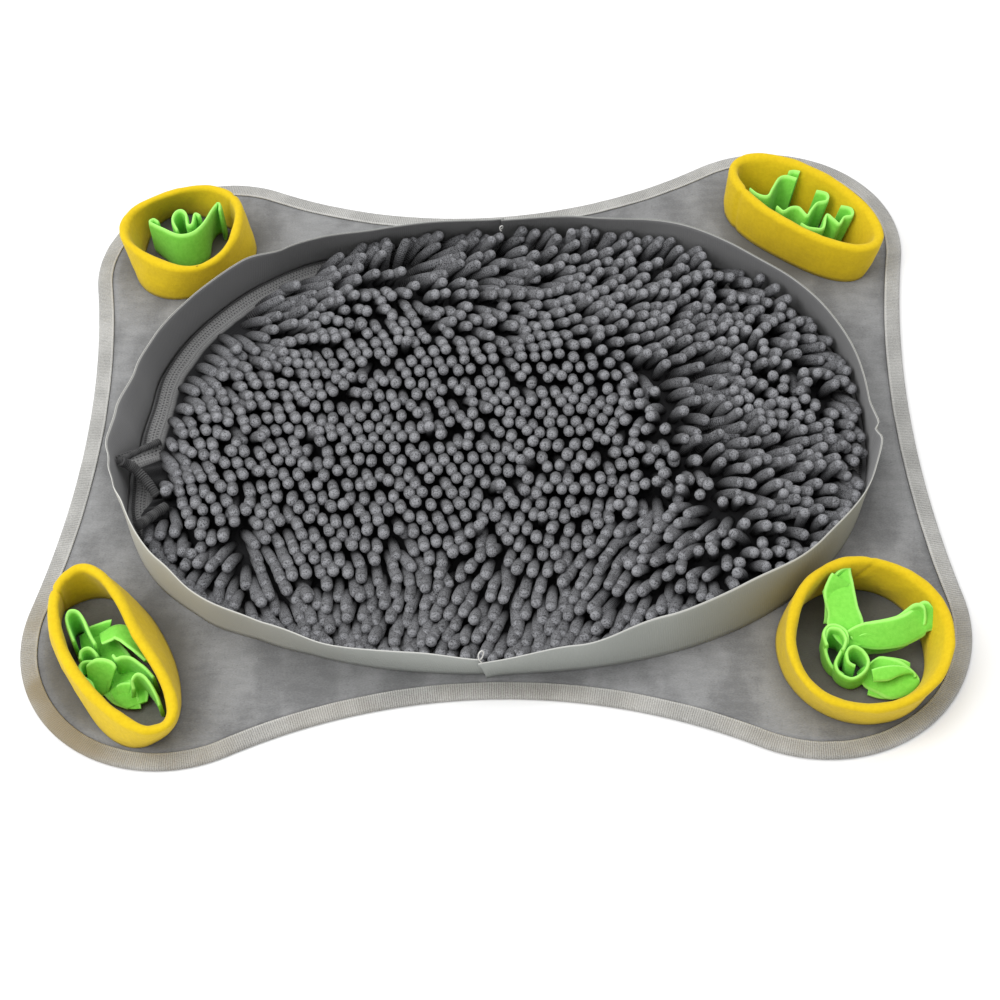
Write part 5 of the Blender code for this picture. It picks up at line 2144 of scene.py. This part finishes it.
FOLDS = (
    LooseFold("fold_right_upper", (
        (203.9, -162, 26, 222.3, -148.8, 33), (204.7, -168.9, 25, 222.5, -159.6, 31),
        (206.1, -176.3, 23, 223.9, -171.4, 28), (205.1, -183.6, 21, 226.8, -184.9, 24),
        (209.1, -192.2, 19, 226.7, -192.2, 21), (215.8, -199, 16, 225, -196.9, 18))),
    LooseFold("fold_right_upper_end", (
        (222.3, -148.8, 33, 220.9, -152.2, 24), (215.3, -150.9, 34, 214, -155.4, 26),
        (206.8, -159.8, 30, 208.9, -161.4, 25), (203.9, -162.9, 27, 207.2, -164.4, 22))),
    LooseFold("fold_right_side", (
        (219.7, -195, 18, 216.2, -190.7, 24), (225, -197.9, 17, 224, -187.5, 27),
        (236.1, -199.6, 17, 236.2, -186.2, 29), (250.5, -198.2, 18, 249.4, -184.6, 31),
        (262.8, -193, 20, 261.6, -176.2, 33), (265.3, -190.7, 22, 265.8, -175.5, 33),
        (269.5, -189.5, 22, 268.1, -177.6, 32), (272.1, -188.6, 22, 270.8, -180.7, 29))),
    LooseFold("fold_right_side_back", (
        (222.4, -195.5, 16, 220.9, -192.7, 22), (229.2, -194.6, 20, 226.3, -191.7, 24),
        (238.2, -194.1, 22, 235.1, -190.6, 25))),
    LooseFold("fold_right_lower", (
        (221.3, -211.7, 9, 227.7, -210.1, 16), (225.2, -219.5, 6, 235.8, -203.7, 15),
        (232.6, -224.9, 6, 245.6, -206.8, 15), (239.8, -228.9, 6, 254.1, -212.7, 14),
        (250.3, -226.5, 6, 257.7, -218.6, 13), (257.1, -221.4, 6, 257.3, -220.4, 11))),
    LooseFold("fold_right_lower_end", (
        (229.6, -220.9, 14, 229, -214.4, 17), (238.6, -221, 15, 238.3, -212.4, 18),
        (245.9, -218.2, 16, 247.9, -213.5, 18), (252.8, -216.6, 15, 254.2, -216.2, 17),
        (255.3, -217.3, 11, 255.7, -218.6, 15))),
    LooseFold("fold_right_knot", (
        (202.8, -200.1, 6, 24), (201.3, -193.4, 8, 26), (204.4, -187.7, 8.5, 26.5),
        (210.2, -187.1, 8.5, 26.5), (215.1, -191.3, 8, 26), (215.4, -197.3, 6, 24),
        (211.3, -203.2, 4, 22), (207.7, -209.7, 4, 18), (210.1, -215.7, 4, 16),
        (216.8, -219.2, 4, 16), (224.4, -215.8, 4, 18), (227.4, -209.5, 4, 20),
        (224.7, -203.5, 4, 22), (219.1, -200.8, 6, 24), (214.7, -203.9, 5, 23),
        (215.2, -209.7, 4, 20), (219.3, -211.9, 4, 18))),
    LooseFold("fold_left_bed", (
        (-265.8, -171, 6, -251.1, -165.8, 13), (-261.6, -186, 6, -239.9, -178, 12),
        (-254.7, -198.5, 6, -230.5, -189.3, 12),
        (-247.7, -210.2, 5, -222.9, -202.3, 11), (-239, -220, 5, -217.2, -213.9, 10),
        (-229.3, -224.5, 5, -217.2, -221.1, 8))),
    LooseFold("fold_left_front", (
        (-242.4, -211.4, 6, -228.3, -207.6, 12),
        (-238.6, -218.2, 6, -223.9, -214.8, 11), (-233.1, -222.5, 5, -221.8, -220.7, 8),
        (-226.6, -224.6, 5, -220.8, -224.8, 6))),
    LooseFold("fold_left_curl", (
        (-251.6, -198, 8, 20), (-256.6, -199.5, 9, 21), (-258.8, -203.1, 8, 20),
        (-256.6, -207.8, 6, 18), (-251.8, -211.1, 5, 17), (-249.6, -215.2, 4, 15))),
    LooseFold("fold_left_back", (
        (-259.3, -174.9, 8, -258, -169.9, 15), (-253.1, -175.1, 8, -251, -168.4, 17),
        (-245.7, -173.4, 9, -243.1, -168.1, 20))),
)


# ---- studio ----
class SoftLight(NamedTuple):
    """A square soft box that is aimed at the mat's middle."""

    name: str
    place: Place
    size: float
    watts: float

    def build(self) -> None:
        """Add the light to the scene."""
        data = bpy.data.lights.new(self.name, "AREA")
        data.size = self.size
        data.energy = self.watts
        lamp = bpy.data.objects.new(self.name, data)
        aim = (-Vector(self.place)).to_track_quat("-Z", "Y").to_matrix().to_4x4()
        lamp.matrix_world = Matrix.Translation(self.place) @ aim
        bpy.context.scene.collection.objects.link(lamp)


@dataclass
class Studio:
    """Pale floor, soft light and the camera."""

    target: Pair = (-0.26 * MM, 59.875 * MM)
    setback: float = 5 * MM  # of the point it turns about
    distance: float = 1209.03 * MM
    elevation: float = 52.874  # degrees
    turn: float = -1.747
    roll: float = -2.661
    lens: float = 64.8  # mm
    sensor: float = 36.0
    farthest: float = 50.0
    sky: float = 0.75
    floor_size: float = 12.0
    lights: tuple[SoftLight, ...] = (
        SoftLight("key", (-1.2, -0.5, 1.7), size=1.5, watts=30.0),
        SoftLight("top", (0.2, 0.5, 1.9), size=1.6, watts=14.0),
    )

    def _camera(self) -> None:
        """Add the camera."""
        tilt, roll = radians(self.elevation), radians(self.roll)
        right = Vector((1.0, 0.0, 0.0))
        back = Vector((0.0, -cos(tilt), sin(tilt)))
        up = back.cross(right)
        rolled_right = right * cos(roll) + up * sin(roll)
        rolled_up = up * cos(roll) - right * sin(roll)
        axes = Matrix((rolled_right, rolled_up, back)).transposed()
        unturned = Matrix.Rotation(-radians(self.turn), 3, "Z")
        place = unturned @ (back * self.distance - Vector((*self.target, 0.0)))
        place.y -= self.setback
        data = bpy.data.cameras.new("camera")
        data.lens = self.lens
        data.sensor_width = self.sensor
        data.clip_end = self.farthest
        camera = bpy.data.objects.new("camera", data)
        camera.matrix_world = Matrix.Translation(place) @ (unturned @ axes).to_4x4()
        bpy.context.scene.collection.objects.link(camera)
        bpy.context.scene.camera = camera

    def _floor(self) -> None:
        """Add the floor."""
        bpy.ops.object.select_all(action="DESELECT")
        bpy.ops.mesh.primitive_plane_add(size=self.floor_size)
        floor = bpy.context.active_object
        floor.name = "floor"
        floor.data.materials.append(FloorFinish().make())

    def build(self) -> None:
        """Add everything that isn't the mat."""
        self._camera()
        self._floor()
        for light in self.lights:
            light.build()
        scene = bpy.context.scene
        scene.world = bpy.data.worlds.new("soft_sky")
        scene.world.use_nodes = True
        sky = scene.world.node_tree.nodes["Background"]
        sky.inputs["Color"].default_value = (1.0, 1.0, 1.0, 1.0)
        sky.inputs["Strength"].default_value = self.sky
        scene.view_settings.view_transform = "Standard"


def plain(box: Sequence[Sequence[float]]) -> list[list[float]]:
    """Return a box's corners as plain lists of numbers."""
    return [[float(number) for number in corner] for corner in box]


def main() -> None:
    """Build every piece of the mat."""
    logging.basicConfig(level=logging.INFO, format="%(name)s %(message)s")
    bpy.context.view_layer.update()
    Studio().build()
    outline, line = Outline(), WallLine()
    BaseCloth(outline).dress()
    EdgeTape(outline).dress()
    webbing, knit = WebbingFinish().make(), KnitFinish().make()
    WallHalf("wall_right", "wall_band_right", line, webbing, start=-92.44, end=88.94,
             slant_start=-1.0, over_start=0.35, proud=3.0 * MM,
             tucks=(Tuck(-7.4, 0.9, -4 * MM),)).dress()
    WallHalf("wall_left", "wall_band_left", line, webbing, start=89.06, end=267.44,
             slant_end=-1.0, over_start=0.8, proud=1.5 * MM).dress()
    ground, flap = KnitGround(line, knit), TurnedGround(knit)
    ground.dress()
    flap.dress()
    ChenillePile(line, ground, flap, ChenilleFinish().make()).dress()
    yellow, green = YELLOW_FLEECE.make(), GREEN_FLEECE.make()
    for shape in RINGS:
        FleeceRing(shape, yellow).dress()
    for cut in (*STRIPS, *FOLDS):
        cut.dress(green)
    thread = ThreadFinish().make()
    back = line.foot(89.0)[0]
    ThreadLoop("front_thread", thread, (-9.6 * MM, -216.5 * MM, 41.5 * MM), 30.0).dress()
    ThreadLoop("back_thread", thread, (back.x, back.y - 18.5 * MM, 33.5 * MM), 10.0,
               height=4 * MM, breadth=3 * MM).dress()


if __name__ == "__main__":
    main()
